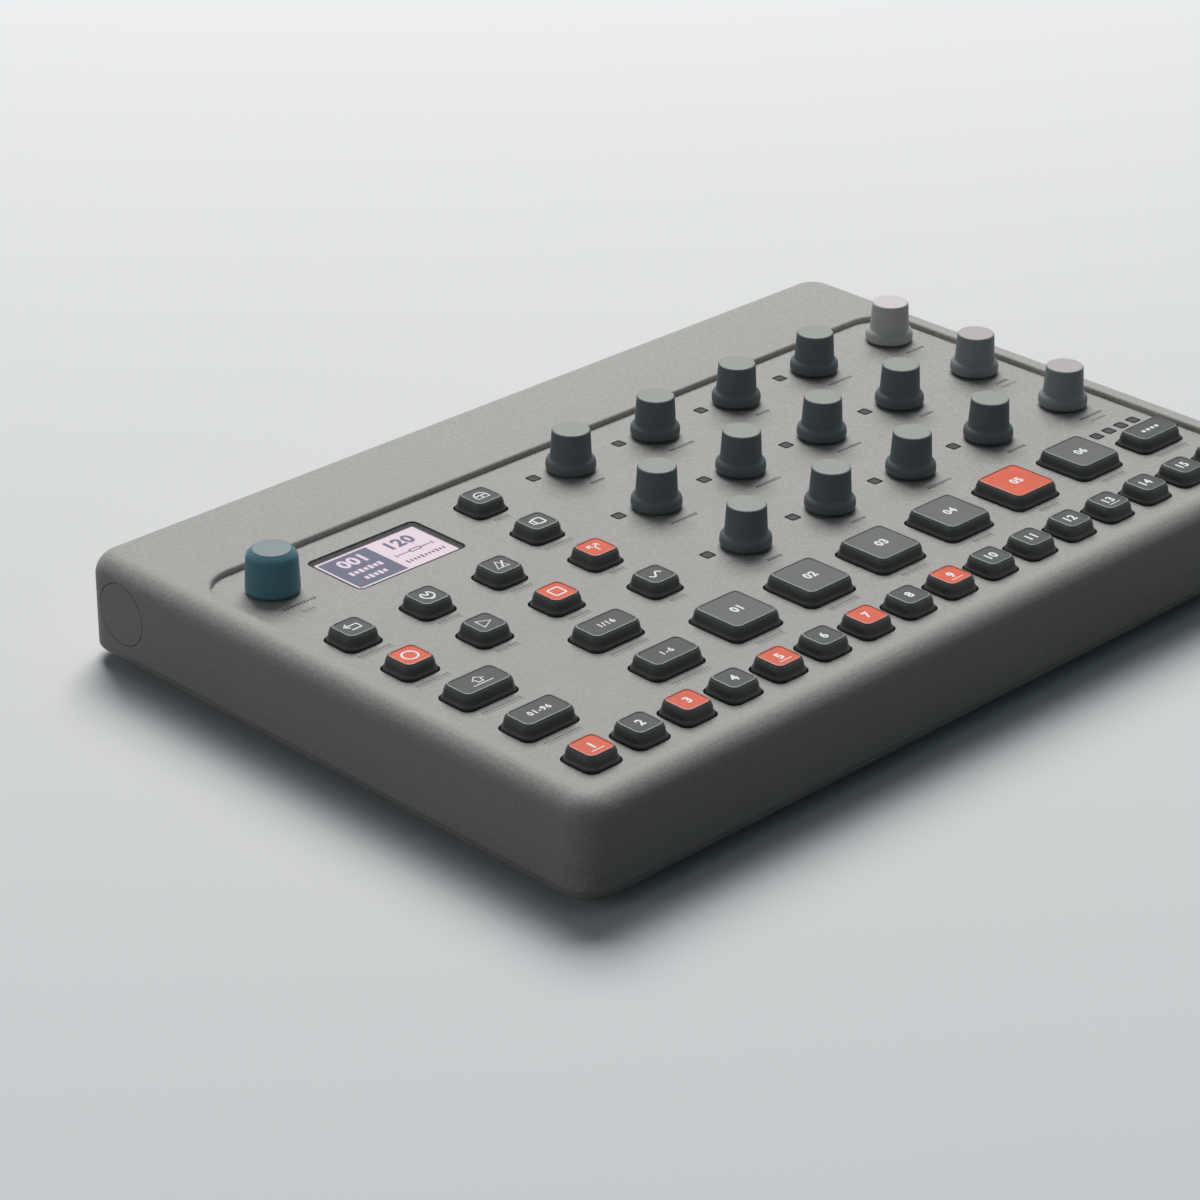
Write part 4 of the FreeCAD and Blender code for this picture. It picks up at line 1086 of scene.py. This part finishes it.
@dataclass
class Knobs:
    """The sixteen knobs, turned from two sections.

    Attributes:
        top: Height of a knob's top above the panel.
        shoulder: Height at which the body ends and the crown starts.
        gap: Gap between a knob and the panel.
        shaft_foot: Lower end of the shaft, from the panel's surface.
        shaft: Radius of the shaft.
        pocket: Radius and ceiling of the hollow under a knob.
        bell: Width and height of the quarter ellipse from the skirt up to the body.
        segments: Number of faces round a knob.
        crown: Radius of the flat crown.
        softness: Largest rounding between the stretches of a section.
    """

    top: float = 11.7
    shoulder: float = 11.52
    gap: float = 0.6
    shaft_foot: float = -7.6
    shaft: float = 3.0
    pocket: Point = (4.6, 3.0)
    bell: Point = (1.04, 1.75)
    segments: int = 96
    crown: float = 4.95
    softness: float = 0.4

    def inside(self) -> list[Point]:
        """Section of the shaft and the pocket under a knob, from the axis outwards."""
        radius, depth = self.pocket
        return [(0.0, self.shaft_foot), (self.shaft, self.shaft_foot), (self.shaft, depth),
                (radius, depth), (radius, self.gap)]

    def control_section(self) -> list[Point]:
        """Tapered body on a bell-shaped skirt."""
        wide, high = self.bell
        bell = [(5.66 + wide * math.cos(a), 2.0 + high * math.sin(a))
                for a in (math.radians(step * 15) for step in range(6))]
        return self.inside() + [(6.42, self.gap), (6.7, 1.2)] + bell + [
            (5.62, 3.95), (5.52, 4.2), (5.1, 11.3), (self.crown, self.shoulder)]

    def level_section(self) -> list[Point]:
        """Wider body without a skirt, with a broad bevel round its top."""
        return self.inside() + [(6.6, self.gap), (6.9, 1.2), (6.5, 9.6), (6.2, 10.35),
                                (5.6, 11.0), (self.crown, self.shoulder)]

    def crown_section(self) -> list[Point]:
        """Flat crown with a soft edge, from the body in to the axis."""
        return [(self.crown, self.shoulder), (self.crown - 0.14, self.top - 0.03),
                (self.crown - 0.5, self.top), (0.0, self.top - 0.04)]

    def build(self, turned: Form) -> None:
        """Build every knob and let it stand for its CAD node.

        Args:
            turned: Tree for turned pieces.
        """
        control = section("knob section", self.control_section())
        level = section("level knob section", self.level_section())
        crown = section("crown section", self.crown_section())
        # Each crown takes a paler finish than its knob's body: a painted highlight on the flat
        # top.
        grey = (control, Finish.GREY_KNOB, Finish.GREY_CROWN, "grey_knob_rubber")
        kinds = {"main_volume_knob": (control, Finish.PALE_KNOB, Finish.PALE_CROWN,
                                      "grey_knob_rubber"),
                 "effect_knob_1": grey, "effect_knob_2": grey,
                 "level_data_knob": (level, Finish.LEVEL_KNOB, Finish.LEVEL_CROWN,
                                     "level_knob_rubber")}
        for node in sorted(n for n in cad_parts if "_knob" in n):
            body, body_finish, crown_highlight_finish, slot = kinds.get(
                node, (control, Finish.KNOB, Finish.CROWN, "knob_rubber"))
            middle = node_box(node)[2]
            parts = [turned.bake(
                "turned_" + node, Section=shape, Round=self.softness, Segments=self.segments,
                Place=(middle.x, middle.y, PANEL_Z), Material=finish.material())
                for shape, finish in ((body, body_finish), (crown, crown_highlight_finish))]
            finish_piece(merge("turned_" + node, parts), node, slot, node)
        discard(control, level, crown)


# Case

@dataclass(frozen=True)
class SoftEdge:
    """An upper edge of the case along a rounded rectangle, rolled to a larger radius.

    Attributes:
        low: Front left corner of the rectangle.
        high: Rear right corner.
        corners: Radius of the front and of the rear corners.
        roll: Radius of the roll.
        inwards: -1 where the case lies inside the rectangle, 1 where it lies outside.
        steps: Cuts across half of the roll.
        top: Level of the case's top.
        slack: How far a point may stand out of the rectangle and still belong to the edge.
        snap: Distance in metres within which a cut takes the points that are there.
    """

    low: Point
    high: Point
    corners: Point
    roll: float
    inwards: int
    steps: int
    top: float = 29.1
    slack: float = 0.02
    snap: float = 1e-7

    def depth_in(self, x: float, y: float) -> Spot:
        """Measure how far a point lies inside the case's wall.

        Args:
            x: Its place across.
            y: Its place in depth.

        Returns:
            The distance, and the direction in which it grows.
        """
        from_x = x - (self.low[0] + self.high[0]) / 2
        from_y = y - (self.low[1] + self.high[1]) / 2
        corner = self.corners[1 if from_y > 0 else 0]
        past_x = abs(from_x) - (self.high[0] - self.low[0]) / 2 + corner
        past_y = abs(from_y) - (self.high[1] - self.low[1]) / 2 + corner
        if past_x > 0 and past_y > 0:
            reach = math.hypot(past_x, past_y)
            out_x, out_y = past_x / reach, past_y / reach
        else:
            reach = max(past_x, past_y)
            out_x, out_y = (1.0, 0.0) if past_x > past_y else (0.0, 1.0)
        side = self.inwards
        return ((reach - corner) * side, math.copysign(out_x, from_x) * side,
                math.copysign(out_y, from_y) * side)

    def cut(self, work: bmesh.types.BMesh) -> None:
        """Cut a mesh along lines beside the edge, so that the roll has points to stand on.

        Args:
            work: Mesh of the case, in metres.
        """
        for step in range(self.steps):
            away = self.roll * (1 - math.tan(math.radians(45 * step / self.steps)))
            shift = away * self.inwards
            planes = [((self.low[0] - shift, 0, 0), (1, 0, 0)),
                      ((self.high[0] + shift, 0, 0), (1, 0, 0)),
                      ((0, self.low[1] - shift, 0), (0, 1, 0)),
                      ((0, self.high[1] + shift, 0), (0, 1, 0)),
                      ((0, 0, self.top - away), (0, 0, 1))]
            for spot, normal in planes:
                everything = [*work.verts, *work.edges, *work.faces]
                bmesh.ops.bisect_plane(work, geom=everything, dist=self.snap, plane_no=normal,
                                       plane_co=Vector(spot) * METRES_PER_MM)

    def round(self, work: bmesh.types.BMesh) -> None:
        """Pull every point that stands proud of the roll back onto it.

        Args:
            work: Mesh of the case, in metres.
        """
        for vertex in work.verts:
            x, y, z = vertex.co / METRES_PER_MM
            below = self.top - z
            if below >= self.roll:
                continue
            depth, way_x, way_y = self.depth_in(x, y)
            if not -self.slack <= depth < self.roll:
                continue
            across, up = self.roll - depth, self.roll - below
            reach = math.hypot(across, up)
            if reach <= self.roll:
                continue
            pulled = across * (1 - self.roll / reach)
            vertex.co = Vector((x + way_x * pulled, y + way_y * pulled,
                                self.top - self.roll + up * self.roll / reach)) * METRES_PER_MM


@dataclass
class Housing:
    """The case with what is fixed to it: plate, screws, feet and boards.

    Attributes:
        weld: Distance under which the points of the CAD mesh become one.
        edges: Upper edges of the case that are softer than the solid's: rim and recess lip.
        foot_radius: Radius of a foot.
        foot_top: Top of a foot, let into the plate.
        foot_spots: Middles of the feet.
        head_face: Level of the screw heads' lower faces.
        head_spots: Middles of the screws in the bottom plate.
        slot: Reach and half width of the arms of the black cross, painted shade for a screw's
            cross slot.
        slot_levels: Levels of that cross's faces, from the head's lower face.
    """

    weld: float = 0.005
    edges: tuple[SoftEdge, ...] = (
        SoftEdge((-135, -90), (135, 90), (8.5, 8.5), 6.0, -1, 5),
        SoftEdge((-126.7, -82), (126.7, 56.2), (6.5, 11), 0.9, 1, 3))
    foot_radius: float = 7.0
    foot_top: float = 4.6
    foot_spots: tuple[Point, ...] = ((-116, -72), (116, -72), (116, 72), (-116, 72))
    head_face: float = 4.6
    head_spots: tuple[Point, ...] = (
        (0, -83.4), (-127.5, -82.5), (127.5, -82.5), (-128.6, -12), (128.6, -12), (-60, 58),
        (60, 58), (-127.5, 82.5), (127.5, 82.5))
    slot: Point = (1.55, 0.32)
    slot_levels: Point = (-0.03, 0.05)

    def soften(self, mesh: bpy.types.Mesh) -> None:
        """Roll the case's rim and the lip of its recess.

        Args:
            mesh: Mesh of the case, in metres.
        """
        work = bmesh.new()
        work.from_mesh(mesh)
        bmesh.ops.remove_doubles(work, verts=work.verts, dist=self.weld * METRES_PER_MM)
        for edge in self.edges:
            edge.cut(work)
        bmesh.ops.triangulate(work, faces=work.faces)
        for edge in self.edges:
            edge.round(work)
        work.to_mesh(mesh)
        work.free()

    def shell(self, node: str, name: str, finish: Finish, slot: str) -> None:
        """Weld a copy of a CAD node, shade it and let it stand for the node.

        Args:
            node: CAD node.
            name: Name of the piece.
            finish: Its finish.
            slot: The record's material slot.
        """
        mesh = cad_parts[node].data.copy()
        finish.put_on(mesh)
        if "custom_normal" in mesh.attributes:
            mesh.attributes.remove(mesh.attributes["custom_normal"])
        if node == "top_case":
            self.soften(mesh)
        smooth(mesh, self.weld)
        finish_piece(link(bpy.data.objects.new(name, mesh)), "case", slot, node)

    def feet(self, turned: Form) -> None:
        """Turn the four feet, each with a rounded edge and a dimple in its face.

        Args:
            turned: Tree for turned pieces.
        """
        radius = self.foot_radius
        shape = section("foot section", [
            (0.0, 0.5), (2.9, 0.5), (3.3, 0.3), (3.6, 0.0), (radius - 0.8, 0.0),
            (radius - 0.25, 0.2), (radius, 0.8), (radius, self.foot_top), (0.0, self.foot_top)])
        feet = [turned.bake("foot", Section=shape, Round=0.2, Segments=64, Place=(x, y, 0.0),
                            Material=Finish.FOOT.material()) for x, y in self.foot_spots]
        discard(shape)
        finish_piece(merge("dimpled_feet", feet), "case", "foot_rubber", "rubber_feet")

    def crosses(self, spread: Form) -> None:
        """Lay a thin black cross on the head of every screw in the bottom plate: painted shade for
        its cross slot.

        Args:
            spread: Tree that sets a shape on many points.
        """
        reach, half = self.slot
        arm = [(reach, -half), (reach, half), (half, half)]
        corners = []
        for _ in range(4):
            corners += arm
            arm = [(-y, x) for x, y in arm]
        shape = prism("cross", corners + corners[:1], *self.slot_levels)
        spots = scattered("screws", [(x, y, self.head_face) for x, y in self.head_spots])
        # The black nylon finish here is painted shade in the slots, not the screws' own colour.
        crosses = spread.bake("cross_slots", Points=spots, Shape=shape,
                              Material=Finish.SOCKET.material())
        discard(shape, spots)
        finish_piece(crosses, "case", "screw_steel")

    def build(self, turned: Form, spread: Form) -> None:
        """Build the housing, and dress the boards in their own place.

        Args:
            turned: Tree for turned pieces.
            spread: Tree that sets a shape on many points.
        """
        self.shell("top_case", "moulded_case", Finish.CASE, "case_paint")
        self.shell("bottom_plate", "coated_plate", Finish.PLATE, "plate_paint")
        self.shell("case_screws", "plated_screws", Finish.STEEL, "screw_steel")
        self.feet(turned)
        self.crosses(spread)
        Finish.BOARD.put_on(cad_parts["circuit_boards"].data)


# Windows and display

@dataclass
class Windows:
    """Small square indicator windows: a frosted guide in a black frame.

    Attributes:
        size: Width of a window.
        corner: Its corner radius.
        edge: Width of the black frame.
        from_knob: Place of a window from its knob's axis.
        page_middle: Middle of the row of windows over the page key.
        page_steps: Places across of those windows, from that middle.
        levels: Foot of a frame, its top and the guide's top, from the panel's surface.
        sunk: How far a guide reaches down into its frame.
    """

    size: float = 3.2
    corner: float = 0.7
    edge: float = 0.46
    from_knob: Point = (-10.95, 2.75)
    page_middle: Point = (113.125, -40.3)
    page_steps: tuple[float, ...] = (-7.8, -2.6, 2.6, 7.8)
    levels: Spot = (-2.6, -0.03, -0.01)
    sunk: float = 0.1

    def spots(self) -> list[Spot]:
        """Middles of all sixteen windows, on the panel."""
        knobs = [node_box(node)[2] for node in sorted(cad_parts)
                 if "_knob" in node and node not in LONE_KNOBS]
        return ([(knob.x + self.from_knob[0], knob.y + self.from_knob[1], PANEL_Z)
                 for knob in knobs]
                + [(self.page_middle[0] + step, self.page_middle[1], PANEL_Z)
                   for step in self.page_steps])

    def build(self, spread: Form) -> None:
        """Build the frames and the guides, one shape on every spot.

        Args:
            spread: Tree that sets a shape on many points.
        """
        spots = scattered("window spots", self.spots())
        foot, frame_top, guide_top = self.levels
        for name, width, radius, low, high, finish in (
                ("window_frames", self.size, self.corner, foot, frame_top, Finish.MASK),
                ("window_guides", self.size - 2 * self.edge, self.corner - self.edge / 2,
                 frame_top - self.sunk, guide_top, Finish.GUIDE)):
            shape = prism("window", rounded_box_line(width, width, radius), low, high)
            piece = spread.bake(name, Points=spots, Shape=shape, Material=finish.material())
            discard(shape)
            finish_piece(piece, "case", "clear_plastic", "clear_windows")
        discard(spots)


@dataclass
class Display:
    """The display under its lens: black outline, masked glass, lit field and figures.

    Attributes:
        middle: Middle of the lens.
        size: Width and depth of the lens.
        corner: Its corner radius.
        outline: Width of the black outline.
        glass_play: How much smaller than the lens the glass is.
        glass: Thickness of the glass that is built.
        field_size: Width and depth of the lit field.
        block_size: Width and depth of the dark block on it.
        dark_x: Middle of that block across, from the display's middle.
        light_x: Middle across of what stands on the light half.
        base: Level of the display's glass.
        lens_levels: Levels of the lens's underside and top.
        layer: Thickness of each layer on the glass.
    """

    middle: Point = (-79.5, 37.75)
    size: Point = (36.2, 21.0)
    corner: float = 2.0
    outline: float = 0.5
    glass_play: float = 0.2
    glass: float = 0.3
    field_size: Point = (33.0, 17.8)
    block_size: Point = (15.7, 16.2)
    dark_x: float = -8.0
    light_x: float = 8.2
    base: float = 26.66
    lens_levels: Point = (26.9, 27.4)
    layer: float = 0.04

    def plate(self, name: str, size: Point, radius: float, low: float, high: float,
              finish: Finish, across: float = 0.0, bevel: float = 0.0) -> bpy.types.Object:
        """Make a rounded plate over the display.

        Args:
            name: Name of the piece.
            size: Its width and depth.
            radius: Its corner radius.
            low: Level of its underside.
            high: Level of its top.
            finish: Its finish.
            across: How far it is off the display's middle, across.
            bevel: Rounding round its top.

        Returns:
            The plate, in metres.
        """
        centre = (self.middle[0] + across, self.middle[1])
        outline = rounded_box_line(*size, radius, centre)
        return to_metres(prism(name, outline, low, high, bevel, finish))

    def signs(self) -> list[tuple[Sign, bool, Point]]:
        """List what the display shows.

        Returns:
            Each sign, whether it is light on the dark block, and its place from the middle.
        """
        slider = [[(-5.6, 0.0), (-1.4, 0.0)], [(1.9, 0.0), (5.4, 0.0)],
                  rounded_box_line(3.2, 1.2, 0.2, (0.2, 0.0)), [(-6.1, -0.7), (-6.1, 0.7)],
                  [(6.0, -0.7), (6.0, 0.7)]]
        steps = [(-5.9 + 1.2 * i, 0.0, 0.62, 1.7 if i % 4 == 0 else 1.1) for i in range(11)]
        upper = [(-4.6 + 1.55 * i, 0.0, 1.05, 2.0 - 0.5 * (i % 2)) for i in range(7)]
        lower = [(-3.0 + 1.5 * i, 0.0, 1.0, 1.5 + 0.5 * (i % 2)) for i in range(5)]
        return [(Sign(figures="001", height=4.5, spacing=1.05), True, (self.dark_x, 4.3)),
                (Sign(bars=upper), True, (self.dark_x, -1.1)),
                (Sign(bars=lower), True, (self.dark_x, -5.0)),
                (Sign(figures="120", height=4.6, spacing=1.05), False, (self.light_x, 4.4)),
                (Sign(slider, stroke=0.4), False, (self.light_x, -1.2)),
                (Sign(bars=steps), False, (self.light_x, -5.4))]

    def screen(self, strokes: Form) -> None:
        """Build the masked glass, the lit field, the dark block and the signs on them.

        Args:
            strokes: Tree that sweeps lines.
        """
        width, depth = self.size
        field_level = self.base + self.layer
        block_level = field_level + self.layer
        parts = [
            self.plate("glass", (width - self.glass_play, depth - self.glass_play), self.corner,
                       self.base - self.glass, self.base, Finish.GLASS),
            self.plate("field", self.field_size, 0.3, self.base - 0.1, field_level,
                       Finish.BACKLIGHT),
            self.plate("block", self.block_size, 0.1, field_level - 0.02, block_level,
                       Finish.CRYSTAL, self.dark_x)]
        for sign, on_block, (across, up) in self.signs():
            piece = sign.mesh("display sign", strokes)
            (Finish.BACKLIGHT if on_block else Finish.CRYSTAL).put_on(piece.data)
            spot = Vector((self.middle[0] + across, self.middle[1] + up,
                           block_level if on_block else field_level))
            piece.data.transform(Matrix.Translation(spot * METRES_PER_MM))
            parts.append(piece)
        finish_piece(merge("display_field", parts), "case", "board_resin")

    def cover(self, strokes: Form) -> None:
        """Build the black wall and seal round the display, and the lens within them.

        Args:
            strokes: Tree that sweeps lines.
        """
        width, depth = self.size
        low, high = self.lens_levels
        rim = self.outline
        edge = rounded_box_line(width - rim, depth - rim, self.corner - rim / 2)
        ring = poly_curve("outline", [edge], True)
        rings = [strokes.bake(
            name, Lines=ring, Width=rim, Thickness=top - foot,
            Place=(*self.middle, (foot + top) / 2), Material=finish.material())
            for name, foot, top, finish in (("wall", self.base, low, Finish.GLASS),
                                            ("seal", low, PANEL_Z, Finish.MASK))]
        discard(ring)
        finish_piece(merge("lens_seal", rings), "case", "clear_plastic", "clear_windows")
        lens = self.plate("clear_lens", (width - 2 * rim, depth - 2 * rim), self.corner - rim,
                          low, high, Finish.LENS, bevel=0.1)
        lens.data.shade_flat()
        finish_piece(lens, "case", "clear_plastic", "clear_windows")


# Printed marks

@dataclass
class PrintedMarks:
    """Rows of plain dashes where words are printed beside the keys and knobs.

    Attributes:
        height: Height of a dash.
        pitch: Distance from dash to dash.
        rise: How far the ink stands above the panel.
        underline: Gap over an underline and its height.
        under_knob: Distance of a row below its knob's axis.
        second_row: Distance of an effect knob's second row below its first.
        level_row: Place of the level knob's second row from its first.
        under_key: Distance of a row below its small key.
        under_pad: Distance of a row below its pad.
        wide_key: Width over which a key counts as wide.
        dark: Bars in dark ink, filled by lay_out.
        faint: Bars in faint ink, filled by lay_out.
    """

    height: float = 1.15
    pitch: float = 1.05
    rise: float = 0.015
    underline: Point = (0.5, 0.22)
    under_knob: float = 9.9
    second_row: float = 2.6
    level_row: Point = (-0.35, -3.9)
    under_key: float = 7.7
    under_pad: float = 11.1
    wide_key: float = 16.0
    dark: list[Bar] = field(default_factory=list)
    faint: list[Bar] = field(default_factory=list)

    def row(self, bars: list[Bar], x: float, y: float, count: int, underline: bool,
            chance: random.Random) -> None:
        """Add a row of dashes.

        Args:
            bars: Bars that get the row.
            x: Middle of the row.
            y: Height of its middle.
            count: Number of dashes.
            underline: Whether a thin line runs under it.
            chance: Source of small differences in width.
        """
        start = x - (count - 1) * self.pitch / 2
        for index in range(count):
            width = chance.choice((0.64, 0.76, 0.8))
            height = self.height * chance.choice((0.8, 1.0, 1.0))
            bars.append((start + index * self.pitch, y, width, height))
        if underline:
            gap, thickness = self.underline
            bars.append((x, y - self.height / 2 - gap, count * self.pitch, thickness))

    def lay_out(self) -> None:
        """Work out all rows from the keys' and knobs' places."""
        chance = random.Random(11)
        for node in sorted(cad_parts):
            low, high, (x, y, _) = node_box(node)
            first = y - self.under_knob
            if node == "level_data_knob":
                self.row(self.dark, x, first, 10, False, chance)
                self.row(self.faint, x + self.level_row[0], first + self.level_row[1], 4, True,
                         chance)
            elif "_knob" in node:
                self.row(self.dark, x, first, chance.choice((5, 5, 7, 9)), False, chance)
                if "effect" in node:
                    self.row(self.faint, x, first - self.second_row, 6, False, chance)
            elif node.startswith("pad"):
                self.row(self.faint, x, y - self.under_pad, chance.choice((7, 9, 10)), True,
                         chance)
            elif "_key" in node and not node.startswith("trig"):
                wide = high.x - low.x > self.wide_key
                count = chance.choice((9, 11, 12) if wide else (5, 7, 9, 10))
                self.row(self.faint, x, y - self.under_key, count, True, chance)

    def build(self, spread: Form) -> None:
        """Print the rows in their two inks.

        Args:
            spread: Tree that sets a shape on many points.
        """
        self.lay_out()
        square = [(-0.5, -0.5), (0.5, -0.5), (0.5, 0.5), (-0.5, 0.5), (-0.5, -0.5)]
        for name, bars, finish in (("dark_print", self.dark, Finish.INK),
                                   ("faint_print", self.faint, Finish.FAINT_INK)):
            shape = prism("dash", square, -1.0, 1.0)
            spots = scattered(name, [(x, y, PANEL_Z) for x, y, _, _ in bars],
                              [(width, height, self.rise) for _, _, width, height in bars])
            piece = spread.bake(name, Points=spots, Shape=shape, Material=finish.material())
            discard(shape, spots)
            finish_piece(piece, "case", "case_paint")


# Rear panel

@dataclass
class RearPanel:
    """Metal and plastic details of the sockets and the power switch on the rear wall.

    Attributes:
        mouth: Rear end of the sockets' noses.
        axis: Height of the sockets' axes.
        jacks: Place across and bore radius of each jack socket.
        jack_depth: Length of a jack's liner.
        jack_face: Width of its ring as a share of the bore.
        inlet: Place across of the power inlet.
        inlet_bore: Its bore radius.
        inlet_depth: Length of its liner.
        inlet_face: Width of its ring.
        pin: Radius of the inlet's pin.
        play: Gap between a liner and its bore.
        data: Place across and height of the data socket.
        data_mouth: Width and height of its metal shell, along the middle of the metal.
        data_shell: Thickness and length of the shell.
        grooves: Number of grooves in the switch's lever.
        groove: Width and depth of a groove.
        to_rear: Turn that points a piece's axis to the rear.
    """

    mouth: float = 89.8
    axis: float = 15.7
    jacks: tuple[Point, ...] = ((68, 3.25), (90, 3.25), (112, 1.8), (6, 1.8), (-10, 1.8))
    jack_depth: float = 8.0
    jack_face: float = 0.25
    inlet: float = -72.0
    inlet_bore: float = 2.85
    inlet_depth: float = 6.0
    inlet_face: float = 0.5
    pin: float = 1.06
    play: float = 0.04
    data: Point = (-46.0, 10.7)
    data_mouth: Point = (7.5, 2.7)
    data_shell: Point = (0.5, 4.4)
    grooves: int = 3
    groove: Point = (0.4, 0.35)
    to_rear: Euler = field(default_factory=lambda: Euler((math.radians(-90), 0, 0)))

    def liner(self, bore: float, face: float, depth: float) -> list[Point]:
        """Section of a metal liner with a thin ring on the face of the nose.

        Args:
            bore: Radius of the socket's bore.
            face: Width of the ring.
            depth: Length of the liner.

        Returns:
            The section's points.
        """
        outside = bore - self.play
        return [(outside, -depth), (outside, 0.0), (bore + face, 0.0), (bore + face, 0.09),
                (bore - 0.15, 0.09), (bore - 0.32, -0.3), (bore - 0.32, -depth),
                (outside, -depth)]

    def liners(self, turned: Form, strokes: Form) -> None:
        """Build the liners, the inlet's pin and the data socket's shell.

        Args:
            turned: Tree for turned pieces.
            strokes: Tree that sweeps lines.
        """
        pin = self.pin
        rings = [(x, self.liner(bore, self.jack_face * bore, self.jack_depth))
                 for x, bore in self.jacks]
        rings.append((self.inlet,
                      self.liner(self.inlet_bore, self.inlet_face, self.inlet_depth)))
        rings.append((self.inlet, [(0.0, -9.4), (pin, -9.4), (pin, -2.2), (pin - 0.35, -1.9),
                                   (0.0, -1.85)]))
        parts = []
        for x, shape in rings:
            made = section("liner section", shape)
            parts.append(turned.bake("liner", Section=made, Round=0.05, Segments=48,
                                     Place=(x, self.mouth, self.axis), Turn=self.to_rear,
                                     Material=Finish.NICKEL.material()))
            discard(made)
        shell = poly_curve("shell", [rounded_box_line(*self.data_mouth, 0.7)], True)
        x, z = self.data
        thickness, length = self.data_shell
        parts.append(strokes.bake("data shell", Lines=shell, Width=thickness, Thickness=length,
                                  Place=(x, self.mouth - 2.15, z), Turn=self.to_rear,
                                  Material=Finish.NICKEL.material()))
        discard(shell)
        finish_piece(merge("socket_liners", parts), "case", "board_resin")

    def lever(self) -> None:
        """Build the power switch's lever with grooves across its tip."""
        low, high, _ = node_box("power_switch")
        (groove, deep), width = self.groove, high.x - low.x
        tip = [(low.x, high.y)]
        for index in range(self.grooves):
            middle = low.x + width * (index + 0.5) / self.grooves
            tip = [(middle + groove / 2, high.y), (middle + groove / 4, high.y - deep),
                   (middle - groove / 4, high.y - deep), (middle - groove / 2, high.y)] + tip
        outline = [(low.x, low.y), (high.x, low.y), (high.x, high.y)] + tip
        lever = prism("ribbed_lever", outline + outline[:1], low.z, high.z, 0.12, Finish.SOCKET)
        finish_piece(to_metres(lever), "power_switch", "switch_plastic", "power_switch")


# Scene

@dataclass
class Studio:
    """Camera, lights and floor, in metres and degrees.

    Attributes:
        camera_place: Where the camera stands.
        camera_turn: Its rotation.
        lens: Its focal length on a sensor 36 mm wide, in millimetres.
        floor_size: Width of the floor.
        paper: Colour of the floor as the eye sees it.
        paper_bounce: Colour of the floor for the light that it throws back.
        softboxes: Name, power in watts, width and place of each soft light.
        aim: Where the soft lights point.
        fill: Colour of the even light from all round.
        backdrop: Colour of the surroundings as the eye sees them.
    """

    camera_place: Spot = (-0.634819, -0.592620, 0.439113)
    camera_turn: Spot = (63.18349, -0.43745, -44.79360)
    lens: float = 112.2364
    floor_size: float = 6.0
    paper: str = "#F2F2F3"
    paper_bounce: str = "#2E3032"
    softboxes: tuple[tuple[str, float, float, Spot], ...] = (
        ("softbox", 58.5, 1.5, (0.95, 1.15, 2.05)), ("side light", 4.5, 1.2, (-2.2, 0.5, 0.75)))
    aim: Spot = (0.0, 0.0, 0.02)
    fill: str = "#404A4E"
    backdrop: str = "#DFE0E1"

    def camera(self) -> None:
        """Place the camera as the photograph was taken."""
        data = bpy.data.cameras.new("camera")
        data.sensor_width = 36.0
        data.lens = self.lens
        data.clip_start = 0.01
        camera = link(bpy.data.objects.new("camera", data))
        camera.location = self.camera_place
        camera.rotation_euler = Euler([math.radians(a) for a in self.camera_turn])
        bpy.context.scene.camera = camera

    def seen_directly(self, tree: bpy.types.NodeTree, unseen: str,
                      seen: str) -> bpy.types.NodeSocket:
        """Give rays that the eye follows, also in metal and through glass, their own colour.

        Args:
            tree: Tree of the floor or of the surroundings.
            unseen: Colour for lighting rays.
            seen: Colour for rays that the eye follows.

        Returns:
            The socket with the colour.
        """
        rays = add_node(tree, "ShaderNodeLightPath").outputs
        mirrored = add_node(tree, "ShaderNodeMath", {
            0: rays["Is Glossy Ray"], 1: rays["Is Transmission Ray"]}, operation="MAXIMUM")
        direct = add_node(tree, "ShaderNodeMath", {0: rays["Is Camera Ray"], 1: mirrored},
                          operation="MAXIMUM")
        return add_node(tree, "ShaderNodeMix", {
            "Factor": direct, 6: linear(unseen), 7: linear(seen)}, data_type="RGBA").outputs[2]

    def floor(self) -> None:
        """Lay a plain pale floor that looks white and reflects less light on the object."""
        made, tree = new_material("pale paper floor")
        shown = self.seen_directly(tree, self.paper_bounce, self.paper)
        paper = add_node(tree, "ShaderNodeBsdfDiffuse", {"Color": shown})
        add_node(tree, "ShaderNodeOutputMaterial", {"Surface": paper})
        work = bmesh.new()
        bmesh.ops.create_grid(work, x_segments=1, y_segments=1, size=self.floor_size / 2)
        floor = mesh_object("floor", work)
        floor.data.materials.append(made)

    def lights(self) -> None:
        """Hang a large soft light behind and above, a weak one at the left, and an even fill."""
        for name, power, size, place in self.softboxes:
            data = bpy.data.lights.new(name, "AREA")
            data.energy = power
            data.shape = "SQUARE"
            data.size = size
            lamp = link(bpy.data.objects.new(name, data))
            lamp.location = place
            way = Vector(self.aim) - Vector(place)
            lamp.rotation_euler = way.to_track_quat("-Z", "Y").to_euler()
        world = bpy.data.worlds.new("studio")
        world.use_nodes = True
        tree = world.node_tree
        tree.nodes.clear()
        glow = add_node(tree, "ShaderNodeBackground", {
            "Color": self.seen_directly(tree, self.fill, self.backdrop), "Strength": 1.0})
        add_node(tree, "ShaderNodeOutputWorld", {"Surface": glow})
        bpy.context.scene.world = world

    def build(self) -> None:
        """Build the studio."""
        self.camera()
        self.floor()
        self.lights()
        bpy.context.scene.view_settings.view_transform = "Standard"


def main() -> None:
    """Build the studio, then the machine from its housing to its rear panel."""
    Studio().build()
    strokes, turned, spread = ridge_form(), lathe_form(), spread_form()
    Housing().build(turned, spread)
    Windows().build(spread)
    display = Display()
    display.screen(strokes)
    display.cover(strokes)
    PrintedMarks().build(spread)
    Keyboard().build(strokes)
    Knobs().build(turned)
    rear = RearPanel()
    rear.liners(turned, strokes)
    rear.lever()


if __name__ == "__main__":
    main()
